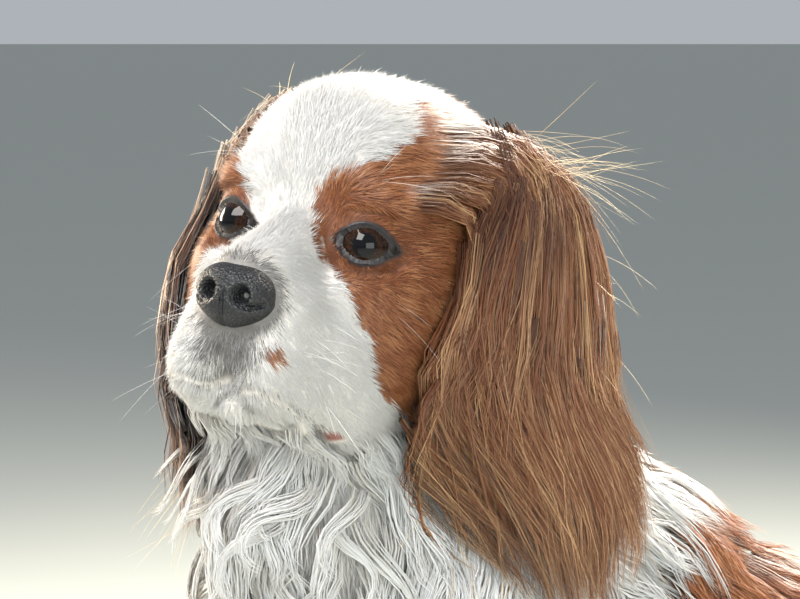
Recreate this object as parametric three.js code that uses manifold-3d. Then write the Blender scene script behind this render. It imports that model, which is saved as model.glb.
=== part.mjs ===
// A sitting cavalier king charles spaniel, life size, in millimetres.
// +Z is up, the dog faces -Y and its left side is +X. The floor is z = 0.
// The body is one blended surface, parted by thin cuts into the pieces that a person would name.
import * as THREE from 'three';
import { MarchingCubes } from 'three/addons/objects/MarchingCubes.js';
import { mergeVertices } from 'three/addons/utils/BufferGeometryUtils.js';
import Module from 'manifold-3d';

// Driving dimensions
const GAP = 0.35; // left between pieces that touch
const HEAD_AT = [4, -72, 380]; // midway between the eyes' centres, on the head's middle plane
const HEAD_YAW = 31.5; // degrees, towards the dog's left
const HEAD_PITCH = 8; // degrees, nose up
const HEAD_ROLL = 8; // degrees, left side down
const EYE_RADIUS = 11.4;
const EYE_AT = [25.5, -44, 0]; // the left eye's centre, in the head's frame
const EYE_SPLAY = 20; // degrees that each eye looks outwards
const LID_THICKNESS = 1.7;
const LID_OPENING = [23, 14]; // width and height of the opening between the lids
const NOSE_AT = [0, -89.5, -26];
const NOSE_SIZE = [15.5, 10, 11.8];
const EAR_ROOT = [45, 12, 55]; // middle of the left ear's root, in the head's frame
const EAR_HAIR_LENGTH = 184; // root to the tips of the hair
const EAR_LEATHER_SHARE = 0.53; // the share of that length that the ear's skin reaches
const EAR_LEATHER_THICKNESS = 5;
const HEAD_CELL = 7.8; // grid steps of the surfaces
const BODY_CELL = 15;
const PAW_CELL = 6.4;
const BIG = 1200; // larger than the dog, for cutting boxes

// Forms of the head, in its own frame. A pair is repeated on the other side.
const HEAD_FORMS = [
  { name: 'cranium', ball: [0, 12, 12], size: [53, 58, 52], tilt: 0, blend: 0 },
  { name: 'forehead', ball: [0, -18, 22], size: [41, 36, 39], tilt: 0, blend: 14 },
  { name: 'brow', ball: [24, -42, 15], size: [16, 12, 11], tilt: 0, blend: 8, pair: true },
  { name: 'cheek', ball: [32, -12, -24], size: [24, 38, 36], tilt: 0, blend: 16, pair: true },
  { name: 'cheekbone', ball: [27, -42, -18], size: [15, 18, 15], tilt: 0, blend: 10, pair: true },
  { name: 'muzzle', ball: [0, -62, -34], size: [27, 30, 26], tilt: 0, blend: 10 },
  { name: 'bridge', limb: [[0, -48, -3], [0, -82, -20]], radii: [14, 13], blend: 9 },
  { name: 'flew', ball: [14.5, -67, -52], size: [15, 25, 23], tilt: 10, blend: 7, pair: true },
  { name: 'jowl', ball: [24, -36, -50], size: [19, 32, 26], tilt: 8, blend: 14, pair: true },
  { name: 'lid', ball: [25.2, -43.4, 0.2], size: [13.2, 13.6, 13.2], tilt: 0, blend: 5, pair: true },
];
const JAW_FORMS = [
  { name: 'jawbone', limb: [[0, -14, -52], [0, -60, -62]], radii: [24, 13], blend: 0 },
  { name: 'chin', ball: [0, -71, -65], size: [13, 13, 11], tilt: 0, blend: 6 },
];
const ORBIT = { blend: 5, radius: 12.5 }; // the hollow in the skull round each eye

// Forms of the neck, trunk and limbs, in the dog's frame
const TRUNK_FORMS = [
  { name: 'breast', ball: [0, -50, 214], size: [54, 56, 66], tilt: 10, blend: 0 },
  { name: 'ribcage', ball: [0, 22, 210], size: [64, 100, 74], tilt: 34, blend: 30 },
  { name: 'withers', limb: [[0, -8, 262], [0, 50, 238]], radii: [50, 48], blend: 25 },
  { name: 'loin', ball: [0, 106, 174], size: [60, 72, 70], tilt: 38, blend: 30 },
  { name: 'rump', ball: [0, 136, 76], size: [58, 60, 78], tilt: 0, blend: 30 },
  { name: 'belly', ball: [0, 66, 112], size: [46, 58, 50], tilt: 30, blend: 25 },
  { name: 'shoulder', ball: [46, -34, 205], size: [25, 36, 60], tilt: -12, blend: 18, pair: true },
  { name: 'neck', limb: [[0, -18, 268], [2, -54, 340]], radii: [54, 46], blend: 22 },
  { name: 'throat', ball: [-4, -86, 282], size: [44, 42, 52], tilt: 0, blend: 20 },
];
const LIMB_FORMS = [
  { name: 'upper_arm', limb: [[48, -58, 186], [46, -28, 148]], radii: [22, 20], blend: 12, pair: true },
  { name: 'forearm', limb: [[46, -32, 142], [42, -60, 48]], radii: [19, 14.5], blend: 12, pair: true },
  { name: 'pastern', limb: [[42, -60, 48], [43, -70, 20]], radii: [14.5, 14], blend: 6, pair: true },
  { name: 'forepaw', ball: [44, -84, 14], size: [18, 25, 15.5], tilt: 0, blend: 5, pair: true },
  { name: 'thigh', ball: [58, 104, 84], size: [31, 60, 62], tilt: 20, blend: 18, pair: true },
  { name: 'stifle', limb: [[52, 122, 90], [68, 56, 86]], radii: [42, 26], blend: 15, pair: true },
  { name: 'shank', limb: [[68, 56, 74], [64, 132, 26]], radii: [22, 17], blend: 10, pair: true },
  { name: 'metatarsus', limb: [[64, 132, 15], [66, 62, 13.5]], radii: [16.5, 14.5], blend: 6, pair: true },
  { name: 'hind_paw', ball: [67, 36, 13.5], size: [17, 27, 14.8], tilt: 0, blend: 5, pair: true },
  { name: 'tail_root', limb: [[0, 178, 44], [8, 220, 22]], radii: [22, 14], blend: 14 },
  { name: 'tail_middle', limb: [[8, 220, 22], [34, 256, 12]], radii: [14, 12], blend: 5 },
  { name: 'tail_end', limb: [[34, 256, 12], [74, 276, 10]], radii: [12, 10.5], blend: 5 },
];
const TOES = {
  across: [-10.8, -3.8, 3.8, 10.8],
  back: [5, 0, 0, 5],
  size: [6.4, 11, 9.6],
  height: 9,
  blend: 3,
};
const FOREPAW_TOES_AT = [44, -104];
const HIND_TOES_AT = [67, 14];

const wasm = await Module();
wasm.setup();
const radians = THREE.MathUtils.degToRad;
const vec = (a) => new THREE.Vector3(...a);

const headFrame = new THREE.Matrix4()
  .makeTranslation(...HEAD_AT)
  .multiply(new THREE.Matrix4().makeRotationZ(radians(HEAD_YAW)))
  .multiply(new THREE.Matrix4().makeRotationX(-radians(HEAD_PITCH)))
  .multiply(new THREE.Matrix4().makeRotationY(radians(HEAD_ROLL)));
const intoHead = headFrame.clone().invert();

// Distance fields: negative inside, in millimetres

function ballDistance(form, x, y, z) {
  const [cx, cy, cz] = form.ball;
  const [rx, ry, rz] = form.size;
  const c = Math.cos(radians(form.tilt));
  const s = Math.sin(radians(form.tilt));
  const px = (x - cx) / rx;
  const py = ((y - cy) * c - (z - cz) * s) / ry;
  const pz = ((y - cy) * s + (z - cz) * c) / rz;
  const near = Math.hypot(px, py, pz);
  const slope = Math.hypot(px / rx, py / ry, pz / rz);
  return slope < 1e-9 ? -Math.min(rx, ry, rz) : (near * (near - 1)) / slope;
}

function limbDistance(form, x, y, z) {
  const [a, b] = form.limb;
  const d = [b[0] - a[0], b[1] - a[1], b[2] - a[2]];
  const p = [x - a[0], y - a[1], z - a[2]];
  const along = (p[0] * d[0] + p[1] * d[1] + p[2] * d[2]) / (d[0] ** 2 + d[1] ** 2 + d[2] ** 2);
  const t = Math.min(1, Math.max(0, along));
  const radius = form.radii[0] + (form.radii[1] - form.radii[0]) * t;
  return Math.hypot(p[0] - d[0] * t, p[1] - d[1] * t, p[2] - d[2] * t) - radius;
}

function smoothUnion(a, b, blend) {
  if (blend <= 0) return Math.min(a, b);
  const h = Math.max(blend - Math.abs(a - b), 0) / blend;
  return Math.min(a, b) - (h * h * blend) / 4;
}

const smoothCut = (a, b, blend) => -smoothUnion(-a, b, blend);

function formsDistance(forms, x, y, z) {
  let d = 1e6;
  for (const form of forms) {
    const across = form.pair ? Math.abs(x) : x;
    const one = form.ball ? ballDistance(form, across, y, z) : limbDistance(form, across, y, z);
    d = d > 1e5 ? one : smoothUnion(d, one, form.blend);
  }
  return d;
}

// Toes are a row of small balls at the front of each paw.
const toeForms = [FOREPAW_TOES_AT, HIND_TOES_AT].flatMap(([x, y]) =>
  TOES.across.map((offset, i) => ({
    ball: [x + offset, y + TOES.back[i], TOES.height],
    size: TOES.size,
    tilt: 0,
    blend: TOES.blend,
    pair: true,
  })),
);

function skullDistance(x, y, z) {
  const orbit = Math.hypot(Math.abs(x) - EYE_AT[0] - 3, y - EYE_AT[1] + 5, z - EYE_AT[2]) - ORBIT.radius;
  return smoothCut(formsDistance(HEAD_FORMS, x, y, z), orbit, ORBIT.blend);
}

const bodyForms = [...TRUNK_FORMS, ...LIMB_FORMS, ...toeForms];
const trunkDistance = (x, y, z) => formsDistance(bodyForms, x, y, z);
const HEAD_TO_NECK_BLEND = 16;

function toHead(x, y, z) {
  const e = intoHead.elements;
  return [
    e[0] * x + e[4] * y + e[8] * z + e[12],
    e[1] * x + e[5] * y + e[9] * z + e[13],
    e[2] * x + e[6] * y + e[10] * z + e[14],
  ];
}

const dogDistance = (x, y, z) =>
  smoothUnion(skullDistance(...toHead(x, y, z)), trunkDistance(x, y, z), HEAD_TO_NECK_BLEND);
const jawDistance = (x, y, z) => formsDistance(JAW_FORMS, ...toHead(x, y, z));

function slopeOf(field, p) {
  const e = 0.4;
  return new THREE.Vector3(
    field(p.x + e, p.y, p.z) - field(p.x - e, p.y, p.z),
    field(p.x, p.y + e, p.z) - field(p.x, p.y - e, p.z),
    field(p.x, p.y, p.z + e) - field(p.x, p.y, p.z - e),
  ).divideScalar(2 * e);
}

function toSurface(field, p, height = 0) {
  for (let i = 0; i < 3; i++) {
    const slope = slopeOf(field, p);
    p.addScaledVector(slope, (height - field(p.x, p.y, p.z)) / Math.max(slope.lengthSq(), 0.05));
  }
  return p;
}

// Solids

function solid(geometry) {
  const bare = geometry.clone();
  for (const name of Object.keys(bare.attributes)) if (name !== 'position') bare.deleteAttribute(name);
  const merged = mergeVertices(bare, 1e-3);
  const made = new wasm.Manifold(
    new wasm.Mesh({
      numProp: 3,
      vertProperties: Float32Array.from(merged.attributes.position.array),
      triVerts: Uint32Array.from(merged.index.array),
    }),
  );
  return made;
}

function geometryOf(made) {
  const mesh = made.getMesh();
  const position = new Float32Array(mesh.numVert * 3);
  for (let i = 0; i < mesh.numVert; i++)
    for (let k = 0; k < 3; k++) position[i * 3 + k] = mesh.vertProperties[i * mesh.numProp + k];
  return new THREE.BufferGeometry()
    .setAttribute('position', new THREE.BufferAttribute(position, 3))
    .setIndex(new THREE.BufferAttribute(mesh.triVerts, 1));
}

const largest = (made) => made.decompose().sort((a, b) => b.volume() - a.volume())[0];

// The largest closed surface, also after corners that nearly meet are joined
const settled = (made) => largest(solid(geometryOf(largest(made))));
const joined = (solids) => solids.reduce((all, one) => all.add(one));

// The closed surface of a field inside a box of the dog's frame, with even triangles.
function wrap(field, low, high, cell) {
  const centre = vec(low).add(vec(high)).multiplyScalar(0.5);
  const longest = Math.max(high[0] - low[0], high[1] - low[1], high[2] - low[2]);
  const size = 2 * Math.ceil(longest / cell / 2) + 6;
  const half = size / 2;
  const boxed = (x, y, z) => {
    const outside = Math.max(low[0] - x, x - high[0], low[1] - y, y - high[1], low[2] - z, z - high[2]);
    return Math.max(field(x, y, z), outside);
  };
  const grid = new MarchingCubes(size, new THREE.MeshStandardMaterial(), false, false, 60000);
  const snap = 0.16 * cell; // a corner this near the surface counts as on it, so no sliver grows there
  grid.isolation = 0;
  for (let k = 0; k < size; k++)
    for (let j = 0; j < size; j++)
      for (let i = 0; i < size; i++) {
        const d = boxed(
          centre.x + (i - half) * cell,
          centre.y + (j - half) * cell,
          centre.z + (k - half) * cell,
        );
        grid.setCell(i, j, k, Math.abs(d) < snap ? 0 : -d);
      }
  grid.update();
  const points = grid.positionArray.slice(0, grid.count * 3).map((value) => value * half * cell);
  const raw = new THREE.BufferGeometry().setAttribute('position', new THREE.BufferAttribute(points, 3));
  const merged = mergeVertices(raw, 1e-2);
  const position = merged.attributes.position;
  position.applyMatrix4(new THREE.Matrix4().makeTranslation(centre.x, centre.y, centre.z));
  const index = [];
  const old = merged.index.array;
  for (let i = 0; i < old.length; i += 3)
    if (old[i] !== old[i + 1] && old[i + 1] !== old[i + 2] && old[i] !== old[i + 2])
      index.push(old[i], old[i + 1], old[i + 2]);
  relax(position, index, boxed);
  merged.setIndex(index);
  const made = solid(merged);
  if (made.volume() > 0) return made;
  for (let i = 0; i < index.length; i += 3) [index[i], index[i + 1]] = [index[i + 1], index[i]];
  merged.setIndex(index);
  return solid(merged);
}

// Evens out the triangles and puts every corner back on the surface.
function relax(position, index, field) {
  const neighbours = Array.from({ length: position.count }, () => new Set());
  for (let i = 0; i < index.length; i += 3)
    for (let k = 0; k < 3; k++) {
      neighbours[index[i + k]].add(index[i + ((k + 1) % 3)]);
      neighbours[index[i + k]].add(index[i + ((k + 2) % 3)]);
    }
  const PASSES = 3;
  for (let pass = 0; pass < PASSES; pass++) {
    const now = Array.from({ length: position.count }, (_, i) =>
      new THREE.Vector3().fromBufferAttribute(position, i),
    );
    now.forEach((p, i) => {
      if (!neighbours[i].size) return;
      const middle = new THREE.Vector3();
      for (const j of neighbours[i]) middle.add(now[j]);
      middle.divideScalar(neighbours[i].size);
      const moved = toSurface(field, p.clone().lerp(middle, 0.5));
      position.setXYZ(i, moved.x, moved.y, moved.z);
    });
  }
}

// A box of half-space on the side of a plane that its normal points to, set back by half the gap.
function halfSpace(point, normal, back = GAP / 2) {
  const n = vec(normal).normalize();
  const turn = new THREE.Quaternion().setFromUnitVectors(new THREE.Vector3(0, 0, 1), n);
  const box = new THREE.BoxGeometry(BIG, BIG, BIG);
  box.translate(0, 0, BIG / 2 + back).applyQuaternion(turn).translate(...point);
  return solid(box);
}

function box(low, high, grow = 0) {
  const size = high.map((h, i) => h - low[i] + 2 * grow);
  return solid(
    new THREE.BoxGeometry(...size).translate(...low.map((l, i) => (l + high[i]) / 2)),
  );
}

const mirrored = (made) => made.mirror([1, 0, 0]);
const below = (a) => a.map((v) => -v);

// A flat tapered lock of hair with its ridge outwards. Its path is a list of places, each with
// an outward direction.
function lock(path, width, thickness) {
  const SIDES = 3;
  const RINGS = 4;
  const curve = new THREE.CatmullRomCurve3(path.map((station) => station.at));
  const outward = new THREE.CatmullRomCurve3(path.map((station) => station.out));
  const cone = new THREE.ConeGeometry(1, 1, SIDES, RINGS, false);
  const position = cone.attributes.position;
  for (let i = 0; i < position.count; i++) {
    const t = THREE.MathUtils.clamp(position.getY(i) + 0.5, 0, 1);
    const left = Math.max(1 - t, 1e-4);
    const [across, high] = [position.getX(i) / left, position.getZ(i) / left];
    const tangent = curve.getTangent(t);
    const side = outward.getPoint(t).cross(tangent).normalize();
    const up = tangent.clone().cross(side).normalize();
    const taper = t > 0.999 ? 0 : 1 - t ** 3;
    const p = curve
      .getPoint(t)
      .addScaledVector(side, (across * width * taper * Math.min(1, 0.6 + 1.4 * t)) / 2)
      .addScaledVector(up, (high * thickness * taper * Math.min(1, 0.3 + 1.6 * t)) / 2);
    position.setXYZ(i, p.x, p.y, p.z);
  }
  return facingOut(cone);
}

// The path of a lock that starts under the coat's surface and is combed along it, lifting towards its tip.
function combed(root, lie, { length, lift, sink = 6, fall = 0.5, sway = 0, floor = 3, free = false }) {
  const STEPS = 5;
  const p = toSurface(dogDistance, root.clone(), -sink);
  const path = [];
  for (let i = 0; i <= STEPS; i++) {
    const out = slopeOf(dogDistance, p).normalize();
    path.push({ at: p.clone(), out: free ? new THREE.Vector3(0, 0, 1) : out });
    const t = (i + 1) / STEPS;
    const heading = lie.clone().addScaledVector(new THREE.Vector3(0, 0, -1), fall * t);
    heading.addScaledVector(new THREE.Vector3().crossVectors(out, lie), sway * Math.cos(5 * t));
    if (!free) heading.addScaledVector(out, -heading.dot(out));
    p.addScaledVector(heading.normalize(), length / STEPS);
    if (!free) toSurface(dogDistance, p, -sink + (sink + lift) * t ** 0.5);
    p.z = Math.max(p.z, floor);
  }
  return path;
}

function stripped(geometry) {
  const bare = geometry.clone();
  bare.deleteAttribute('normal');
  bare.deleteAttribute('uv');
  return bare;
}

// Head

const HEAD_BOX = [[-90, -190, 270], [100, 40, 470]];
const headCut = {
  point: new THREE.Vector3(0, 30, -58).applyMatrix4(headFrame).toArray(),
  normal: new THREE.Vector3(0, 0.4, -0.92).transformDirection(headFrame).toArray(),
};
const headSide = halfSpace(headCut.point, below(headCut.normal));
const placeInHead = (geometry) => solid(geometry.applyMatrix4(headFrame));

function gaze(side) {
  return new THREE.Matrix4()
    .makeTranslation(side * EYE_AT[0], EYE_AT[1], EYE_AT[2])
    .multiply(new THREE.Matrix4().makeRotationZ(side * radians(EYE_SPLAY)));
}

function eyeball(side, grow = 0) {
  const ball = new THREE.SphereGeometry(EYE_RADIUS + grow, 14, 9);
  const cornea = new THREE.SphereGeometry(EYE_RADIUS * 0.72 + grow, 10, 7).translate(0, -EYE_RADIUS * 0.34, 0);
  return joined([ball, cornea].map((g) => placeInHead(g.applyMatrix4(gaze(side)))));
}

function lids(side) {
  const radius = EYE_RADIUS + GAP + LID_THICKNESS;
  return placeInHead(new THREE.SphereGeometry(radius, 18, 12).applyMatrix4(gaze(side)));
}

// The almond between the lids, cut along the gaze
function lidOpening(side) {
  const [w, h] = LID_OPENING;
  const almond = new THREE.Shape()
    .moveTo(-w / 2, -h * 0.08)
    .quadraticCurveTo(0, h * 1.0, w / 2, -h * 0.02)
    .quadraticCurveTo(0, -h * 0.96, -w / 2, -h * 0.08);
  const depth = 24;
  const prism = new THREE.ExtrudeGeometry(almond, { depth, bevelEnabled: false, curveSegments: 8 })
    .rotateX(Math.PI / 2)
    .translate(0, -2, 0);
  return placeInHead(prism.applyMatrix4(gaze(side)));
}

function nosePad(grow = 0) {
  const pad = new THREE.SphereGeometry(1, 14, 9);
  const position = pad.attributes.position;
  for (let i = 0; i < position.count; i++) {
    let [x, y, z] = [position.getX(i), position.getY(i), position.getZ(i)];
    const wide = z > 0 ? 1 : 1 - 0.38 * z * z; // narrower below, where the philtrum runs down
    x = Math.sign(x) * Math.abs(x) ** 0.86 * wide;
    z = Math.sign(z) * Math.abs(z) ** 0.85;
    position.setXYZ(
      i,
      x * (NOSE_SIZE[0] + grow) + NOSE_AT[0],
      y * (NOSE_SIZE[1] + grow) + NOSE_AT[1],
      z * (NOSE_SIZE[2] + grow) + NOSE_AT[2],
    );
  }
  return placeInHead(pad);
}

// Each nostril is a rounded hole with a slit that curls out and back.
function nostril(side) {
  const hole = new THREE.SphereGeometry(1, 7, 5).scale(3, 6, 3.4).translate(side * 6.4, -98, -25.5);
  const slit = new THREE.SphereGeometry(1, 6, 5)
    .scale(5.6, 6, 1.3)
    .rotateY(side * 0.25)
    .translate(side * 11, -94.5, -29.4);
  return placeInHead(hole).add(placeInHead(slit));
}

function philtrum() {
  return placeInHead(new THREE.BoxGeometry(0.8, 2.4, 16).translate(0, -99.6, -33));
}

function headSolids() {
  const skull = wrap(dogDistance, ...HEAD_BOX, HEAD_CELL).intersect(headSide);
  const grownSkull = wrap((x, y, z) => dogDistance(x, y, z) - 4.5 * GAP, ...HEAD_BOX, HEAD_CELL);
  let head = skull.subtract(nosePad(GAP));
  for (const side of [1, -1]) head = head.add(lids(side));
  for (const side of [1, -1]) head = head.subtract(eyeball(side, GAP)).subtract(lidOpening(side));
  let jaw = wrap(jawDistance, ...HEAD_BOX, HEAD_CELL).intersect(headSide).subtract(grownSkull);
  for (const shift of [[0, 0, -GAP], [0, GAP, 0], [0, -GAP, 0], [GAP, 0, 0], [-GAP, 0, 0]])
    jaw = jaw.subtract(head.translate(shift));
  const nose = nosePad().subtract(nostril(1)).subtract(nostril(-1)).subtract(philtrum());
  return { head: largest(head), lower_jaw: largest(jaw), nose: largest(nose), grownSkull };
}

// Ears

// The hanging sheet of an ear: u runs from its front edge, -1, to its rear, 1, and v from root to hair tips.
// Its rear flares outwards and its lower edge runs up towards the rear.
function earSheet(side, u, v, out = 0) {
  const narrow = 1 - 0.6 * Math.max(0, (v - 0.55) / 0.45) ** 1.3;
  const halfWidth = (24 + 34 * Math.sin(Math.min(v / 0.6, 1) * (Math.PI / 2))) * narrow;
  const open = Math.min(1, v / 0.3);
  const x = EAR_ROOT[0] - 4 + 21 * (1 - Math.exp(-v / 0.07)) + 5 * v + (12 * u - 9 * u * u) * open;
  const y = EAR_ROOT[1] + 24 * v + halfWidth * u;
  const z = EAR_ROOT[2] - EAR_HAIR_LENGTH * v * (1 - 0.17 * Math.max(0, u) ** 1.5) - 8 * u * u * (1 - v);
  return new THREE.Vector3(side * (x + out), y, z);
}

// Drapes a point of the ear over the head, neck and chest, at least this far outside them.
function draped(side, p, clear) {
  const placed = p.clone().applyMatrix4(headFrame);
  const outward = new THREE.Vector3(side, -0.15, 0).transformDirection(headFrame);
  for (let i = 0; i < 8; i++) {
    const d = dogDistance(placed.x, placed.y, placed.z);
    if (d >= clear) break;
    placed.addScaledVector(outward, (clear - d) / Math.max(slopeOf(dogDistance, placed).dot(outward), 0.45));
  }
  return placed;
}

function earLeather(side) {
  const lobe = new THREE.SphereGeometry(1, 16, 9);
  const position = lobe.attributes.position;
  for (let i = 0; i < position.count; i++) {
    const [sx, sy, sz] = [position.getX(i), position.getZ(i), position.getY(i)];
    const ring = Math.hypot(sx, sy);
    const v = 0.02 + (EAR_LEATHER_SHARE - 0.02) * (1 - sz) / 2;
    const u = ring > 1e-5 ? (sy / ring) * Math.min(1, ring * 1.25) * 0.72 : 0;
    const clear = v < 0.08 ? -3 : 1 + (sx + 1) * (EAR_LEATHER_THICKNESS / 2);
    const p = draped(side, earSheet(side, u, v, (sx * EAR_LEATHER_THICKNESS) / 2), clear);
    position.setXYZ(i, p.x, p.y, p.z);
  }
  return facingOut(lobe);
}

function facingOut(geometry) {
  const made = solid(geometry);
  if (made.volume() > 0) return made;
  const turned = mergeVertices(stripped(geometry), 1e-3);
  const order = turned.index.array;
  for (let i = 0; i < order.length; i += 3) [order[i], order[i + 1]] = [order[i + 1], order[i]];
  return solid(turned);
}

// Rows of ear hair: where they root, how far down they hang, and how far out they lie
const EAR_ROWS = [
  { roots: 7, from: 0.38, to: 1.0, spread: 0.96, out: 1, width: 36, thick: 9 },
  { roots: 6, from: 0.08, to: 0.78, spread: 1.0, out: 6, width: 30, thick: 10 },
];

function earLocks(side, draw) {
  return EAR_ROWS.flatMap((row) =>
    Array.from({ length: row.roots }, (_, i) => {
      const u = row.spread * (-1 + (2 * (i + 0.5)) / row.roots);
      const reach = row.to - 0.1 * u * u - 0.14 * Math.max(0, u) ** 1.5 + draw(-0.04, 0.03);
      const bend = draw(-0.06, 0.06);
      const STEPS = 5;
      const path = Array.from({ length: STEPS + 1 }, (_, k) => {
        const t = k / STEPS;
        const v = row.from + (reach - row.from) * t;
        const across = u * (0.68 + 0.32 * Math.min(1, 2.2 * t)) + bend * Math.sin(4.5 * t);
        const height = -1 + (row.out + 3) * Math.min(1, 1.8 * t) * (1 - 0.35 * t);
        const at = draped(side, earSheet(side, across, v, height), 3 + height);
        const out = new THREE.Vector3(side, -0.1 - 0.5 * across, 0).transformDirection(headFrame);
        return { at, out };
      });
      return lock(path, row.width * draw(0.9, 1.1), row.thick);
    }),
  );
}

// Locks of the body

// Rows of the chest's ruff: height of the roots, the angles from the front that they cover, towards the dog's left
const RUFF_ROWS = [
  { z: 282, from: -14, to: 50, count: 4, length: 54 },
  { z: 262, from: -24, to: 60, count: 5, length: 56 },
  { z: 240, from: -60, to: 60, count: 6, length: 56 },
  { z: 216, from: -50, to: 50, count: 5, length: 54 },
  { z: 192, from: -34, to: 34, count: 4, length: 48 },
  { z: 170, from: -20, to: 20, count: 2, length: 36 },
];
const RUFF_AXIS = [-2, -50];

function ruffLocks(draw) {
  return RUFF_ROWS.flatMap((row) =>
    Array.from({ length: row.count }, (_, i) => {
      const angle = radians(row.from + ((row.to - row.from) * (i + 0.5)) / row.count + draw(-3, 3));
      const away = new THREE.Vector3(Math.sin(angle), -Math.cos(angle), 0);
      const root = new THREE.Vector3(...RUFF_AXIS, row.z + draw(-4, 4)).addScaledVector(away, 60);
      const lie = new THREE.Vector3(Math.sin(angle) * 0.5, 0, -1).normalize();
      const lift = 11 + 5 * Math.abs(Math.sin(angle));
      const path = combed(root, lie, { length: row.length * draw(0.9, 1.15), lift, sway: draw(-0.4, 0.4) });
      return lock(path, draw(20, 26), 9);
    }),
  );
}

// Feathering behind a foreleg, below the thigh and along the tail: each row runs between two places
const FEATHERS = {
  foreleg_left: {
    from: [46, 2, 138],
    to: [43, -30, 62],
    count: 5,
    lie: [0.1, 0.6, -0.9],
    length: 38,
    lift: 12,
    width: 18,
  },
  hind_leg_left: {
    from: [62, 176, 108],
    to: [80, 146, 52],
    count: 4,
    lie: [0.3, 0.7, -1],
    length: 46,
    lift: 14,
    width: 24,
  },
  tail_over: {
    from: [6, 206, 40],
    to: [70, 274, 14],
    count: 4,
    lie: [0.75, 0.8, 0],
    length: 70,
    lift: 0,
    width: 34,
  },
  tail_left: {
    from: [12, 206, 30],
    to: [66, 270, 10],
    count: 5,
    lie: [1, -0.05, -0.1],
    length: 62,
    lift: 0,
    width: 30,
  },
  tail_right: {
    from: [4, 214, 26],
    to: [60, 274, 10],
    count: 5,
    lie: [-0.1, 1, -0.1],
    length: 66,
    lift: 0,
    width: 30,
  },
};

function featherLocks(row, draw) {
  return Array.from({ length: row.count }, (_, i) => {
    const root = vec(row.from).lerp(vec(row.to), (i + 0.5) / row.count);
    const lie = vec(row.lie).normalize();
    const length = row.length * draw(0.9, 1.1);
    const free = row.lift === 0; // spread flat on the floor
    const path = combed(root, lie, { length, lift: row.lift, fall: 0.3, sink: 5, floor: 4.6, free });
    return lock(path, row.width, 9);
  });
}

// Parting

const NECK_CUT = { point: [0, -12, 280], normal: [0, 0.14, 0.99] };
const WAIST_CUT = { point: [0, 58, 178], normal: [0, 0.8, -0.6] };
const HIP_CUT = { point: [0, 104, 118], normal: [0, 0.5, -0.87] };
const FORELEG_BOX = [[14, -130, 33], [90, -5, 150]];
const FOREPAW_BOX = [[14, -135, -20], [90, -38, 33]];
const HIND_LEG_BOX = [[42, 20, -20], [120, 184, 150]];
const HIND_PAW_BOX = [[42, -10, -20], [120, 62, 34]];
const TAIL_CUT = { point: [0, 186, 40], normal: [0, 1, -0.25] };

function parted() {
  const trunk = wrap(dogDistance, [-130, -150, -12], [130, 200, 400], BODY_CELL).intersect(floor);
  const grownBoxes = [FORELEG_BOX, FOREPAW_BOX, HIND_LEG_BOX, HIND_PAW_BOX]
    .map(([low, high]) => box(low, high, GAP))
    .flatMap((one) => [one, mirrored(one)]);
  const core = grownBoxes.reduce((all, one) => all.subtract(one), trunk).subtract(
    halfSpace(TAIL_CUT.point, TAIL_CUT.normal),
  );
  const keep = (made, ...cuts) => largest(cuts.reduce((all, cut) => all.intersect(cut), made));
  const beyond = (cut) => halfSpace(cut.point, cut.normal);
  const before = (cut) => halfSpace(cut.point, below(cut.normal));
  const nodes = {
    neck: keep(core, halfSpace(headCut.point, headCut.normal), beyond(NECK_CUT), before(WAIST_CUT)),
    chest: keep(core, halfSpace(headCut.point, headCut.normal), before(NECK_CUT), before(WAIST_CUT)),
    loin: keep(core, beyond(WAIST_CUT), before(HIP_CUT)),
    rump: keep(core, beyond(WAIST_CUT), beyond(HIP_CUT)),
    tail: keep(
      wrap(dogDistance, [-50, 150, -12], [130, 330, 80], PAW_CELL * 1.5).intersect(floor),
      beyond(TAIL_CUT),
    ),
  };
  const limbs = {
    foreleg: largest(trunk.intersect(box(...FORELEG_BOX, -GAP / 2))),
    forepaw: largest(
      wrap(trunkDistance, [0, -140, -12], [100, -20, 50], PAW_CELL)
        .intersect(floor)
        .intersect(box(...FOREPAW_BOX, -GAP / 2)),
    ),
    hind_leg: largest(
      trunk.intersect(box(...HIND_LEG_BOX, -GAP / 2)).subtract(box(...HIND_PAW_BOX, GAP / 2)),
    ),
    hind_paw: largest(
      wrap(trunkDistance, [30, -30, -12], [120, 80, 50], PAW_CELL)
        .intersect(floor)
        .intersect(box(...HIND_PAW_BOX, -GAP / 2)),
    ),
  };
  for (const [name, made] of Object.entries(limbs)) {
    nodes[name + '_left'] = made;
    nodes[name + '_right'] = mirrored(made);
  }
  return nodes;
}

// The dog

const COLOURS = {
  white: { color: 0xefe9df, roughness: 0.9, metalness: 0 },
  chestnut: { color: 0x8a4a26, roughness: 0.85, metalness: 0 },
  black: { color: 0x1c1b1f, roughness: 0.55, metalness: 0 },
  eye: { color: 0x1a0f0a, roughness: 0.08, metalness: 0 },
};

let seed = 7;
function draw(low, high) {
  seed = (seed * 1664525 + 1013904223) % 4294967296;
  return low + ((high - low) * seed) / 4294967296;
}

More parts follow.
